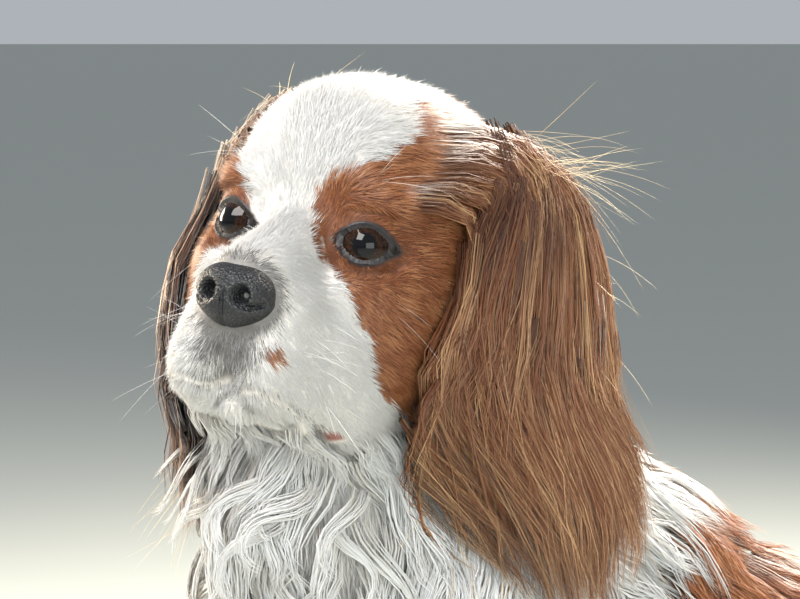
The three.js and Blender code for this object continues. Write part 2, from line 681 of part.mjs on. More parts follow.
const floor = halfSpace([0, 0, 0], [0, 0, 1], 0);
const { grownSkull, ...headNodes } = headSolids();
const nodes = { ...headNodes, ...parted() };
const grownBody = wrap(
  (x, y, z) => dogDistance(x, y, z) - 3 * GAP,
  [-100, -170, 190],
  [110, 120, 350],
  BODY_CELL * 0.8,
);
const grownJaw = wrap((x, y, z) => jawDistance(x, y, z) - 4.5 * GAP, ...HEAD_BOX, HEAD_CELL);
for (const [name, side] of [['left', 1], ['right', -1]]) {
  nodes['eye_' + name] = eyeball(side);
  nodes['ear_' + name] = largest(
    joined([earLeather(side), ...earLocks(side, draw)]).subtract(grownSkull).subtract(grownBody),
  );
}
nodes.neck = largest(nodes.neck.subtract(grownJaw));
nodes.chest = largest(
  nodes.chest.add(joined(ruffLocks(draw)).subtract(grownSkull)).subtract(grownJaw),
);
nodes.foreleg_left = largest(joined([nodes.foreleg_left, ...featherLocks(FEATHERS.foreleg_left, draw)]));
nodes.hind_leg_left = largest(joined([nodes.hind_leg_left, ...featherLocks(FEATHERS.hind_leg_left, draw)]));
const plume = ['tail_over', 'tail_left', 'tail_right'].flatMap((name) => featherLocks(FEATHERS[name], draw));
nodes.tail = largest(joined([nodes.tail, ...plume]).intersect(floor));
nodes.foreleg_right = mirrored(nodes.foreleg_left);
nodes.hind_leg_right = mirrored(nodes.hind_leg_left);

const finishOf = (name) => {
  if (name.startsWith('eye')) return 'eye';
  if (name === 'nose') return 'black';
  return name.startsWith('ear') || name === 'loin' ? 'chestnut' : 'white';
};

// The part's origin is the middle of its bounding box, on the floor.
const dog = new THREE.Group();
const extent = new THREE.Box3();
for (const [name, made] of Object.entries(nodes)) {
  const finish = new THREE.MeshStandardMaterial(COLOURS[finishOf(name)]);
  const mesh = new THREE.Mesh(geometryOf(settled(made)), finish);
  mesh.name = name;
  dog.add(mesh);
  extent.expandByObject(mesh);
}
const middle = extent.getCenter(new THREE.Vector3());
for (const mesh of dog.children) mesh.geometry.translate(-middle.x, -middle.y, 0);

export default dog;
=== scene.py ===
"""The looks of a life-size sitting spaniel: skin, coat, eyes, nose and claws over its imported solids."""

from __future__ import annotations

import logging
import math
from dataclasses import dataclass, field
from enum import Enum
from typing import Callable, Sequence

import bmesh
import bpy
import numpy as np
from mathutils import Matrix, Vector
from mathutils.kdtree import KDTree


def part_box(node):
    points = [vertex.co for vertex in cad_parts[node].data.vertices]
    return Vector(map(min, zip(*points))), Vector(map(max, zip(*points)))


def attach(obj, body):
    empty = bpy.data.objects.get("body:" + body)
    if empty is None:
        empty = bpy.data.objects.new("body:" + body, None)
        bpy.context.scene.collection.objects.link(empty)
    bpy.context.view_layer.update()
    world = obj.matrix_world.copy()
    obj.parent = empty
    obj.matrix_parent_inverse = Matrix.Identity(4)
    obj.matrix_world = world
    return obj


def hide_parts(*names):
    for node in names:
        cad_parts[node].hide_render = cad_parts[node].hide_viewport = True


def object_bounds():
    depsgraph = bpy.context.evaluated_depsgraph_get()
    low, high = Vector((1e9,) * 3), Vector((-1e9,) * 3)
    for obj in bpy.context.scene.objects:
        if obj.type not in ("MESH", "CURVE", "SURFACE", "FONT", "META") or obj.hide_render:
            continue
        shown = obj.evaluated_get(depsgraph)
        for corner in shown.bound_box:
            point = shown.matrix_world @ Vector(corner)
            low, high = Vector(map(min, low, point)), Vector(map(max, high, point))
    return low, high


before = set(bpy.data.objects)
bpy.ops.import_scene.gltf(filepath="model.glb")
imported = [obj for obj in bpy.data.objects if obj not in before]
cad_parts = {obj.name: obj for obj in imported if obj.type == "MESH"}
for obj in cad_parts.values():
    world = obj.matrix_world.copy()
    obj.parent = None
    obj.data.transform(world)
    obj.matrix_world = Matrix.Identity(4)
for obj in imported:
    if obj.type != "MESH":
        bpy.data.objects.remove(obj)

logging.basicConfig(level=logging.INFO, format="%(relativeCreated)d ms  %(message)s")
log = logging.getLogger("spaniel")

CAD_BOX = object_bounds()
ROOT = "root"
BAKE_MAP = "OFBake"
PATCH = 0.003  # width of a tuft's patch on the unwrap
MILLIMETRES = 1000.0  # in a metre
COAT_SHARE = 0.03  # of each side, that hair may pass the solids' box
COAT_ROOM = 0.007  # metres that it may pass the box besides
FLOOR_CLEAR = 0.0002  # metres between the lowest hair and the floor
ROOT_DEPTH = 0.5  # millimetres that short fur starts inside the skin
MOST_TRIANGLES = 190_000  # of one piece of hair
CORNEA_AHEAD = 0.34  # centre of the cornea before the eye's, as a share of the eye's radius
CORNEA_RADIUS = 0.72  # as a share of the eye's radius
TARGET_RIGHT, TARGET_UP = 0.01466, -0.0216  # metres from the head's middle to the picture's
# Colour of the dark hairs among the white, also used as painted shade on hairs in the mouth groove.
DARK_HAIR_AND_SHADE_COLOUR = (0.035, 0.033, 0.036)
Array = np.ndarray
Point = tuple[float, float, float]


class Slot(Enum):
    """Material slots of the record."""

    WHITE = "white_coat"
    CHESTNUT = "chestnut_coat"
    NOSE = "nose_leather"
    EYE = "eye"


# Small maths


def unit(vectors: Array) -> Array:
    """Vectors at length one, along the last axis."""
    return vectors / np.maximum(np.linalg.norm(vectors, axis=-1, keepdims=True), 1e-9)


def step(low: float, high: float, value: Array) -> Array:
    """Smooth rise from 0 at low to 1 at high."""
    t = np.clip((value - low) / (high - low), 0.0, 1.0)
    return t * t * (3.0 - 2.0 * t)


def flattened(vectors: Array, normals: Array) -> Array:
    """Vectors with their part along the normals taken out, at length one."""
    return unit(vectors - normals * (vectors * normals).sum(-1, keepdims=True))


def rotation(axis: str, degrees: float) -> Array:
    """Rotation about one axis as a 3 by 3 array."""
    return np.array(Matrix.Rotation(math.radians(degrees), 3, axis))


def side_name(side: int) -> str:
    """Name of the dog's left, 1, or of its right, -1."""
    return "left" if side > 0 else "right"


def arrow(x: Array | float, y: Array | float, z: Array | float) -> Array:
    """Vectors from three parts, any of which may be one number."""
    return np.stack(np.broadcast_arrays(x, y, z), axis=-1)


def blended(a: Array, share: Array, b: Array) -> Array:
    """Vectors between two sets, b where the share is 1."""
    return a * (1 - share[..., None]) + b * share[..., None]


def off_centre(p: Array, centre: Point, size: Point) -> Array:
    """Distance from a centre as a share of the half sizes of an ellipsoid round it."""
    return np.linalg.norm((p - np.array(centre)) / np.array(size), axis=1)


def wobble(points: Array, scale: float, seed: int) -> Array:
    """Smooth noise between about -1 and 1.

    Args:
        points: Places, in millimetres.
        scale: Rough size of one swell, in millimetres.
        seed: Chooses the pattern.

    Returns:
        One value for each place.
    """
    rng = np.random.default_rng(seed)
    total = np.zeros(points.shape[:-1])
    for _ in range(7):
        way = unit(rng.normal(size=3)) * (2 * math.pi / scale) * rng.uniform(0.55, 1.7)
        total += np.sin(points @ way + rng.uniform(0, 2 * math.pi))
    return total / 3.2


# Anatomy, in millimetres, in the dog's own frame: it faces -Y with its left side at +X


def smooth_union(a: Array, b: Array, blend: float) -> Array:
    """Union of two distance fields with a fillet of the given size."""
    if blend <= 0:
        return np.minimum(a, b)
    h = np.maximum(blend - np.abs(a - b), 0) / blend
    return np.minimum(a, b) - h * h * blend / 4


@dataclass(frozen=True)
class Ball:
    """An ellipsoid of flesh.

    Attributes:
        at: Centre.
        size: Half sizes.
        tilt: Turn about X in degrees.
        blend: Fillet to what comes before it.
        pair: Whether it is repeated on the other side.
    """

    at: Point
    size: Point
    tilt: float = 0.0
    blend: float = 0.0
    pair: bool = False

    def distance(self, p: Array) -> Array:
        """Distance from the ellipsoid, negative inside."""
        x = (np.abs(p[:, 0]) if self.pair else p[:, 0]) - self.at[0]
        y = p[:, 1] - self.at[1]
        z = p[:, 2] - self.at[2]
        c, s = math.cos(math.radians(self.tilt)), math.sin(math.radians(self.tilt))
        rx, ry, rz = self.size
        px, py, pz = x / rx, (y * c - z * s) / ry, (y * s + z * c) / rz
        near = np.sqrt(px * px + py * py + pz * pz)
        slope = np.sqrt((px / rx) ** 2 + (py / ry) ** 2 + (pz / rz) ** 2)
        return near * (near - 1) / np.maximum(slope, 1e-9)

    def add_to(self, mesh: bmesh.types.BMesh, place: Matrix) -> None:
        """Adds the ellipsoid, and its mirror image for a pair, to a mesh."""
        for side in (1, -1) if self.pair else (1,):
            made = bmesh.ops.create_icosphere(mesh, subdivisions=4, radius=1.0)["verts"]
            turn = Matrix.Rotation(math.radians(-self.tilt), 4, "X")
            at = Matrix.Translation((side * self.at[0], self.at[1], self.at[2]))
            grown = place @ at @ turn @ Matrix.Diagonal((*self.size, 1))
            bmesh.ops.transform(mesh, matrix=grown, verts=made)


@dataclass(frozen=True)
class Limb:
    """A tapered round-ended length of flesh.

    Attributes:
        start: Centre of its first end.
        end: Centre of its other end.
        radii: Radius at each end.
        blend: Fillet to what comes before it.
        pair: Whether it is repeated on the other side.
    """

    start: Point
    end: Point
    radii: tuple[float, float]
    blend: float = 0.0
    pair: bool = False

    def distance(self, p: Array) -> Array:
        """Distance from the limb, negative inside."""
        q = p.copy()
        if self.pair:
            q[:, 0] = np.abs(q[:, 0])
        a, d = np.array(self.start), np.array(self.end) - np.array(self.start)
        t = np.clip((q - a) @ d / (d @ d), 0, 1)
        radius = self.radii[0] + (self.radii[1] - self.radii[0]) * t
        return np.linalg.norm(q - a - t[:, None] * d, axis=1) - radius

    def add_to(self, mesh: bmesh.types.BMesh, place: Matrix) -> None:
        """Adds a run of balls along the limb, and its mirror image for a pair, to a mesh."""
        steps = 9
        for side in (1, -1) if self.pair else (1,):
            for i in range(steps):
                t = i / (steps - 1)
                at = Vector(self.start).lerp(Vector(self.end), t)
                radius = self.radii[0] + (self.radii[1] - self.radii[0]) * t
                made = bmesh.ops.create_icosphere(mesh, subdivisions=3, radius=radius)["verts"]
                move = Matrix.Translation((side * at.x, at.y, at.z))
                bmesh.ops.transform(mesh, matrix=place @ move, verts=made)


HEAD_FORMS = (
    Ball((0, 12, 12), (53, 58, 52)),
    Ball((0, -18, 22), (41, 36, 39), 0, 14),
    Ball((24, -42, 15), (16, 12, 11), 0, 8, True),
    Ball((32, -12, -24), (24, 38, 36), 0, 16, True),
    Ball((27, -42, -18), (15, 18, 15), 0, 10, True),
    Ball((0, -62, -34), (27, 30, 26), 0, 10),
    Limb((0, -48, -3), (0, -82, -20), (14, 13), 9),
    Ball((14.5, -67, -52), (15, 25, 23), 10, 7, True),
    Ball((24, -36, -50), (19, 32, 26), 8, 14, True),
    Ball((25.2, -43.4, 0.2), (13.2, 13.6, 13.2), 0, 5, True),
)
JAW_FORMS = (
    Limb((0, -14, -52), (0, -60, -62), (24, 13)),
    Ball((0, -71, -65), (13, 13, 11), 0, 6),
)
TRUNK_FORMS = (
    Ball((0, -50, 214), (54, 56, 66), 10),
    Ball((0, 22, 210), (64, 100, 74), 34, 30),
    Limb((0, -8, 262), (0, 50, 238), (50, 48), 25),
    Ball((0, 106, 174), (60, 72, 70), 38, 30),
    Ball((0, 136, 76), (58, 60, 78), 0, 30),
    Ball((0, 66, 112), (46, 58, 50), 30, 25),
    Ball((46, -34, 205), (25, 36, 60), -12, 18, True),
    Limb((0, -18, 268), (2, -54, 340), (54, 46), 22),
    Ball((-4, -86, 282), (44, 42, 52), 0, 20),
)
LIMB_FORMS = (
    Limb((48, -58, 186), (46, -28, 148), (22, 20), 12, True),
    Limb((46, -32, 142), (42, -60, 48), (19, 14.5), 12, True),
    Limb((42, -60, 48), (43, -70, 20), (14.5, 14), 6, True),
    Ball((44, -84, 14), (18, 25, 15.5), 0, 5, True),
    Ball((58, 104, 84), (31, 60, 62), 20, 18, True),
    Limb((52, 122, 90), (68, 56, 86), (42, 26), 15, True),
    Limb((68, 56, 74), (64, 132, 26), (22, 17), 10, True),
    Limb((64, 132, 15), (66, 62, 13.5), (16.5, 14.5), 6, True),
    Ball((67, 36, 13.5), (17, 27, 14.8), 0, 5, True),
    Limb((0, 178, 44), (8, 220, 22), (22, 14), 14),
    Limb((8, 220, 22), (34, 256, 12), (14, 12), 5),
    Limb((34, 256, 12), (74, 276, 10), (12, 10.5), 5),
)
TOE_ROWS = ((44, -104), (67, 14))
TOE_ACROSS = (-10.8, -3.8, 3.8, 10.8)
TOE_BACK = (5, 0, 0, 5)
TOE_FORMS = tuple(
    Ball((x + across, y + back, 9), (6.4, 11, 9.6), 0, 3, True)
    for x, y in TOE_ROWS
    for across, back in zip(TOE_ACROSS, TOE_BACK)
)


@dataclass(frozen=True)
class FeatherRow:
    """A row of feathering between two places, combed one way.

    Attributes:
        name: Name of its piece.
        start: First root.
        end: Last root.
        lie: Way it is combed.
        length: Middle length.
        lift: Height of the tips over the flesh.
        count: Clumps.
        free: Whether it lies spread over the floor.
        pair: Whether it is repeated on the other side.
    """

    name: str
    start: Point
    end: Point
    lie: Point
    length: float
    lift: float
    count: int
    free: bool = False
    pair: bool = False


FEATHERS = (
    FeatherRow("foreleg_feather", (46, 2, 138), (43, -30, 62), (0.1, 0.6, -0.9), 38, 12, 16, pair=True),
    FeatherRow("breeches", (62, 176, 108), (80, 146, 52), (0.3, 0.7, -1), 44, 14, 18, pair=True),
    FeatherRow("plume_over", (6, 206, 40), (70, 274, 14), (0.75, 0.8, 0), 68, 0, 24, True),
    FeatherRow("plume_left", (12, 206, 30), (66, 270, 10), (1, -0.05, -0.1), 60, 0, 24, True),
    FeatherRow("plume_right", (4, 214, 26), (60, 274, 10), (-0.1, 1, -0.1), 64, 0, 24, True),
)


def union(forms: Sequence[Ball | Limb], p: Array) -> Array:
    """Distance from a list of forms joined in order."""
    d = forms[0].distance(p)
    for form in forms[1:]:
        d = smooth_union(d, form.distance(p), form.blend)
    return d


@dataclass(frozen=True)
class Anatomy:
    """The dog's flesh as distance fields in millimetres.

    Attributes:
        head_at: Midway between the eyes.
        yaw: Turn of the head to the dog's left, in degrees.
        pitch: Nose up, in degrees.
        roll: Left side down, in degrees.
        eye_at: Centre of the left eye in the head's frame.
        eye_radius: Radius of the eyeball.
        eye_splay: Turn of each eye outwards, in degrees.
        nose_at: Centre of the nose leather in the head's frame.
        nose_size: Its half sizes.
        lid_half: Half the width of the opening between the lids.
        lid_top: Height of the upper lid over the middle of the opening.
        lid_bottom: Depth of the lower lid under it.
        lid_thick: Thickness of the lids over the eyeball.
        corner_at: Centre of the bare left corner of the mouth in the head's frame.
        corner_size: Its half sizes.
    """

    head_at: Point = (4, -72, 380)
    yaw: float = 31.5
    pitch: float = 8
    roll: float = 8
    eye_at: Point = (25.5, -44, 0)
    eye_radius: float = 11.4
    eye_splay: float = 20
    nose_at: Point = (0, -89.5, -26)
    nose_size: Point = (15.5, 10, 11.8)
    lid_half: float = 12.2
    lid_top: float = 7.7
    lid_bottom: float = 6.7
    lid_thick: float = 1.5
    corner_at: Point = (31.0, -53.0, -71.5)
    corner_size: Point = (6.0, 7.5, 3.6)

    @property
    def head_turn(self) -> Array:
        """Rotation of the head's frame."""
        return rotation("Z", self.yaw) @ rotation("X", -self.pitch) @ rotation("Y", self.roll)

    @property
    def head_matrix(self) -> Matrix:
        """Place of the head's frame."""
        return Matrix.Translation(self.head_at) @ Matrix(self.head_turn.tolist()).to_4x4()

    @property
    def shift(self) -> Array:
        """From the dog's frame to the part's, found from where the left eye is."""
        low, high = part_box("eye_left")
        middle = np.array((low + high) / 2) * MILLIMETRES
        turn = self.head_turn @ rotation("Z", self.eye_splay)
        r, bulge = self.eye_radius, CORNEA_RADIUS * self.eye_radius
        balls = [(np.zeros(3), r), (np.array([0, -CORNEA_AHEAD * r, 0]), bulge)]
        tops = np.array([turn @ c + b for c, b in balls])
        bottoms = np.array([turn @ c - b for c, b in balls])
        centre = (tops.max(0) + bottoms.min(0)) / 2
        moved = middle - self.from_head(np.array([self.eye_at]))[0] - centre
        return np.array([moved[0], moved[1], 0.0])

    def to_head(self, p: Array) -> Array:
        """Places in the head's frame."""
        return (p - np.array(self.head_at)) @ self.head_turn

    def from_head(self, p: Array) -> Array:
        """Places in the dog's frame from the head's."""
        return p @ self.head_turn.T + np.array(self.head_at)

    def skull(self, q: Array) -> Array:
        """Distance from the head without its lower jaw, for places in the head's frame."""
        orbit = np.abs(q[:, 0]) - self.eye_at[0] - 3, q[:, 1] - self.eye_at[1] + 5, q[:, 2]
        hollow = np.sqrt(orbit[0] ** 2 + orbit[1] ** 2 + orbit[2] ** 2) - 12.5
        return -smooth_union(-union(HEAD_FORMS, q), hollow, 5)

    def over_lip(self, q: Array) -> Array:
        """Height over the lip line for places in the head's frame."""
        rise = 6.5 * step(9, 0, np.abs(q[:, 0]))
        return q[:, 2] + 56.5 + 0.385 * (q[:, 1] + 91) - rise

    def mouth(self, q: Array) -> Array:
        """1 where the face has a mouth line, 0 behind its corners."""
        return step(-46, -54, q[:, 1]) * step(-40, -46, q[:, 2])

    def off_corner(self, q: Array) -> Array:
        """Distance from the bare corner of the mouth, as a share of its half sizes."""
        return off_centre(arrow(np.abs(q[:, 0]), q[:, 1], q[:, 2]), self.corner_at, self.corner_size)

    def trunk(self, p: Array) -> Array:
        """Distance from everything but the head."""
        return union(TRUNK_FORMS + LIMB_FORMS + TOE_FORMS, p)

    def dog(self, p: Array) -> Array:
        """Distance from the whole dog, its lower jaw apart."""
        return smooth_union(self.skull(self.to_head(p)), self.trunk(p), 16)

    def flesh(self, p: Array) -> Array:
        """Distance from the whole dog."""
        return smooth_union(self.dog(p), union(JAW_FORMS, self.to_head(p)), 2)

    def eye_frame(self, side: int) -> tuple[Array, Array]:
        """Centre and rotation of an eye, which looks along its own -Y."""
        x, y, z = self.eye_at
        centre = self.from_head(np.array([[side * x, y, z]]))[0]
        return centre, self.head_turn @ rotation("Z", side * self.eye_splay)

    def off_opening(self, x: Array, z: Array) -> Array:
        """Distance outside the almond between the lids, seen along the gaze, negative within it."""
        high = np.where(z > 0, self.lid_top, self.lid_bottom)
        fall = 2 * high * x / self.lid_half**2
        return (np.abs(z) - high * (1 - (x / self.lid_half) ** 2)) / np.sqrt(1 + fall * fall)

    def off_lids(self, p: Array) -> Array:
        """Distance outside the nearer eye's almond for places in front of it, large elsewhere."""
        best = np.full(len(p), 99.0)
        for side in (1, -1):
            centre, turn = self.eye_frame(side)
            q = (p - centre) @ turn
            near = (q[:, 1] < 2) & (np.linalg.norm(q, axis=1) < 40)
            best = np.where(near, np.minimum(best, self.off_opening(q[:, 0], q[:, 2])), best)
        return best

    def lidded(self, p: Array) -> Array:
        """Distance from the flesh with the lids closed round the eyes and open over them."""
        d = self.flesh(p)
        for side in (1, -1):
            centre, turn = self.eye_frame(side)
            q = (p - centre) @ turn
            r = np.linalg.norm(q, axis=1)
            near = r < 30
            if not near.any():
                continue
            q, r = q[near], r[near]
            lid = smooth_union(d[near], r - self.eye_radius - self.lid_thick, 4.0)
            off = self.off_opening(q[:, 0], q[:, 2])
            hole = np.maximum(np.maximum(off, self.eye_radius - 1.0 - r), q[:, 1] + 2)
            d = d.copy()
            d[near] = -smooth_union(-lid, hole, 0.7)
        return d

    def headness(self, p: Array) -> Array:
        """1 on the head, 0 on the body, smooth between."""
        return step(-14, 14, self.trunk(p) - self.skull(self.to_head(p)))

    def slope(self, p: Array, reach: Callable[[Array], Array] | None = None) -> tuple[Array, Array]:
        """Distance and its gradient, of the flesh unless another field is given."""
        e = 0.3
        reach = reach or self.flesh
        d = reach(p)
        grown = [reach(p + e * np.eye(3)[k]) for k in range(3)]
        return d, np.stack([(g - d) / e for g in grown], axis=1)

    def settle(
        self,
        p: Array,
        height: Array | float,
        passes: int = 3,
        reach: Callable[[Array], Array] | None = None,
    ) -> tuple[Array, Array]:
        """Moves places along the gradient to a height over the flesh.

        Args:
            p: Places.
            height: Wanted distance.
            passes: Newton steps.
            reach: The field, the flesh unless given.

        Returns:
            The moved places and the outward directions there.
        """
        for _ in range(passes):
            d, g = self.slope(p, reach)
            move = (height - d) / np.maximum((g * g).sum(1), 0.15)
            p = p + g * np.clip(move, -8, 8)[:, None]
        return p, unit(self.slope(p, reach)[1])


@dataclass(frozen=True)
class Markings:
    """Where the coat is chestnut.

    Attributes:
        anatomy: The flesh.
        near: The border on the left of the face: heights, and its distance from the middle there.
        far: The border on the right.
    """

    anatomy: Anatomy
    near: tuple[tuple[float, ...], tuple[float, ...]] = (
        (-62, -59, -54, -46, -35, -26, -17, -10.6, -1.7, 1.3, 6.9)
        + (14.3, 20, 24, 29, 33, 36.6, 42, 49, 56, 62),
        (56, 54, 47.7, 41.4, 38.6, 33.1, 26.2, 17.3, 10.5, 10.2, 6.2)
        + (4.2, 8.6, 15, 20, 24, 27, 28, 26, 21, 16),
    )
    far: tuple[tuple[float, ...], tuple[float, ...]] = (
        (-62, -54, -46, -35, -20, -11, -1, 6.6, 12, 15, 20, 26, 35, 45, 56, 62),
        (56, 49, 43, 40, 36, 31, 20, 19.6, 21.9, 24.7, 29, 34, 36.5, 34, 28, 23),
    )

    def chestnut(self, p: Array) -> Array:
        """1 where the coat is chestnut and 0 where it is white, with a soft ragged border."""
        q = self.anatomy.to_head(p)
        ragged = 1.6 * wobble(p, 7, 3) + 0.9 * wobble(p, 3.1, 4)
        near, far = np.interp(q[:, 2], *self.near), np.interp(q[:, 2], *self.far)
        behind = 0.35 * (q[:, 1] + 55) * step(2, -14, q[:, 2])
        crown = 0.32 * np.clip(q[:, 1] + 4, 0, 50) * step(40, 56, q[:, 2])
        side = np.where(q[:, 0] > 0, q[:, 0] - near, -q[:, 0] - far) + behind + crown + ragged
        throat = -63 + 0.2 * (q[:, 1] + 24)
        face = step(-1.5, 1.5, side) * step(-3, 3, q[:, 2] - throat + ragged)
        nape = step(4, -4, q[:, 1] - 62 - 0.25 * (q[:, 2] - 10) + 2 * ragged)
        nape = nape * step(-44, -34, q[:, 2] + ragged + 60 * step(24, 4, q[:, 1]))
        lip = step(4.4, 2.6, off_centre(q, (19.0, -88.5, -43.5), (1, 1, 1)) + 0.5 * ragged)
        head = np.maximum(face * nape, 0.85 * lip)
        share = step(0.25, 0.6, self.anatomy.headness(p))
        return head * share + self.saddle(p, ragged) * (1 - share)

    def saddle(self, p: Array, ragged: Array) -> Array:
        """Chestnut of the back, flanks and tail's root."""
        along = p[:, 1] + 0.55 * (214 - p[:, 2])
        hem = p[:, 2] - 108 + 5 * ragged + 0.1 * p[:, 1]
        back = step(-5, 5, along - 18 + 4 * ragged) * step(-6, 6, hem)
        blaze = step(-4, 4, np.abs(p[:, 0] + 10) - 6 - 0.05 * np.abs(p[:, 1] - 90) + 3 * ragged)
        body = back * np.maximum(blaze, step(40, 30, np.abs(p[:, 1] - 92)))
        return np.maximum(body, step(172, 184, p[:, 1]) * step(228, 216, p[:, 1] + 3 * ragged))

    def eye_line(self, p: Array) -> Array:
        """1 on the bare black skin at the edges of the lids."""
        return step(1.6, 0.7, self.anatomy.off_lids(p) + 0.3 * wobble(p, 4, 9))

    def soot(self, p: Array) -> Array:
        """How dark the coat is round the nose and lips: dark hair among the white under the nose, a darker
        ring round the nose leather, and painted shade along the groove of the mouth line.
        """
        q = self.anatomy.to_head(p)
        under = off_centre(q, (1.0, -91.0, -45.0), (14.0, 9.0, 9.5))
        rim = off_centre(q, self.anatomy.nose_at, (18.5, 11.5, 14.5))
        lip = step(2.6, 0.5, np.abs(self.anatomy.over_lip(q))) * self.anatomy.mouth(q)
        # Painted shade in the groove of the mouth line, stronger near the middle of the face.
        groove_shade = lip * (0.4 + 0.5 * step(16, 6, np.abs(q[:, 0])))
        return np.clip(step(1.4, 0.45, under) + 0.85 * step(1.2, 0.98, rim) + groove_shade, 0, 1)


@dataclass(frozen=True)
class Comb:
    """Which way the coat lies."""

    anatomy: Anatomy

    def lie(self, p: Array, normals: Array) -> Array:
        """Direction of the coat along the surface, at length one."""
        q = self.anatomy.to_head(p)
        side = np.sign(q[:, 0]) * step(0, 10, np.abs(q[:, 0]))
        x, y, z = np.abs(q[:, 0]), q[:, 1], q[:, 2]
        nasal = step(6, 14, x) * step(30, 22, x) * step(-40, -48, y)
        nasal = nasal * step(8, 0, z) * step(-40, -28, z)
        forehead = step(-12, -34, y) * step(-10, 4, z) * step(28, 12, x)
        brow = step(12, 22, x) * step(2, 12, z) * step(-8, -26, y)
        cheek = step(18, 32, x) * step(6, -14, z)
        temple = step(40, 48, x) * step(34, 16, z) * step(-34, -12, y)
        snout = step(-52, -66, y) * step(-14, -30, z)
        way = arrow(0.35 * side * step(4, 34, x), 1.0, -0.1)
        for share, toward in (
            (nasal, arrow(0.95 * side, 0.7, -0.35)),
            (forehead, arrow(0.3 * side * step(3, 14, x), 0.75, 0.9)),
            (brow, arrow(0.9 * side, 0.8, 0.1)),
            (cheek, arrow(0.3 * side, 1.0, -0.6)),
            (temple, arrow(0.1 * side, 0.55, -1.0)),
            (snout, arrow(0.55 * side, 0.5 + 0.3 * step(-86, -60, y), -0.95)),
            (step(38, 66, y), arrow(0 * x, 0.1, -1.0)),
        ):
            way = blended(way, share, toward)
        head = way @ self.anatomy.head_turn.T
        body = self.body_way(p)
        share = self.anatomy.headness(p)[:, None]
        return flattened(head * share + body * (1 - share), normals)

    def body_way(self, p: Array) -> Array:
        """Unprojected direction of the coat on the trunk and limbs."""
        x, y, z = p[:, 0], p[:, 1], p[:, 2]
        way = blended(arrow(0 * x, 0.8, -0.75), step(20, -30, y), arrow(0.004 * x, 0.0, -1.0))
        way = blended(way, step(34, 20, z), arrow(0 * x, -1.0, -0.35))
        return blended(way, step(182, 200, y), arrow(0.5 + 0 * x, 0.8, -0.2))


# Shaders


class Value:
    """A shader socket that takes part in sums: each operator adds a Math node."""

    def __init__(self, shader: "Shader", socket: bpy.types.NodeSocket) -> None:
        """Wraps an output socket of a shader's tree."""
        self.shader = shader
        self.socket = socket

    def _math(self, operation: str, a: "Value | float", b: "Value | float") -> "Value":
        """One Math node with clamping off."""
        node = self.shader.node("ShaderNodeMath", {"operation": operation}, {0: a, 1: b})
        return Value(self.shader, node.outputs[0])

    def __add__(self, other: "Value | float") -> "Value":
        """Sum."""
        return self._math("ADD", self, other)

    __radd__ = __add__

    def __mul__(self, other: "Value | float") -> "Value":
        """Product."""
        return self._math("MULTIPLY", self, other)

    __rmul__ = __mul__

    def __sub__(self, other: "Value | float") -> "Value":
        """Difference."""
        return self._math("SUBTRACT", self, other)

    def __rsub__(self, other: float) -> "Value":
        """Difference from a number."""
        return self._math("SUBTRACT", other, self)

    def __truediv__(self, other: "Value | float") -> "Value":
        """Quotient."""
        return self._math("DIVIDE", self, other)

    def __pow__(self, other: float) -> "Value":
        """Power."""
        return self._math("POWER", self, other)

    def ramp(self, low: float, high: float, start: float = 0.0, end: float = 1.0) -> "Value":
        """Maps low..high onto start..end smoothly and stops there."""
        node = self.shader.node(
            "ShaderNodeMapRange",
            {"interpolation_type": "SMOOTHSTEP", "clamp": True},
            {"Value": self, "From Min": low, "From Max": high, "To Min": start, "To Max": end},
        )
        return Value(self.shader, node.outputs["Result"])


Colour = tuple[float, float, float]


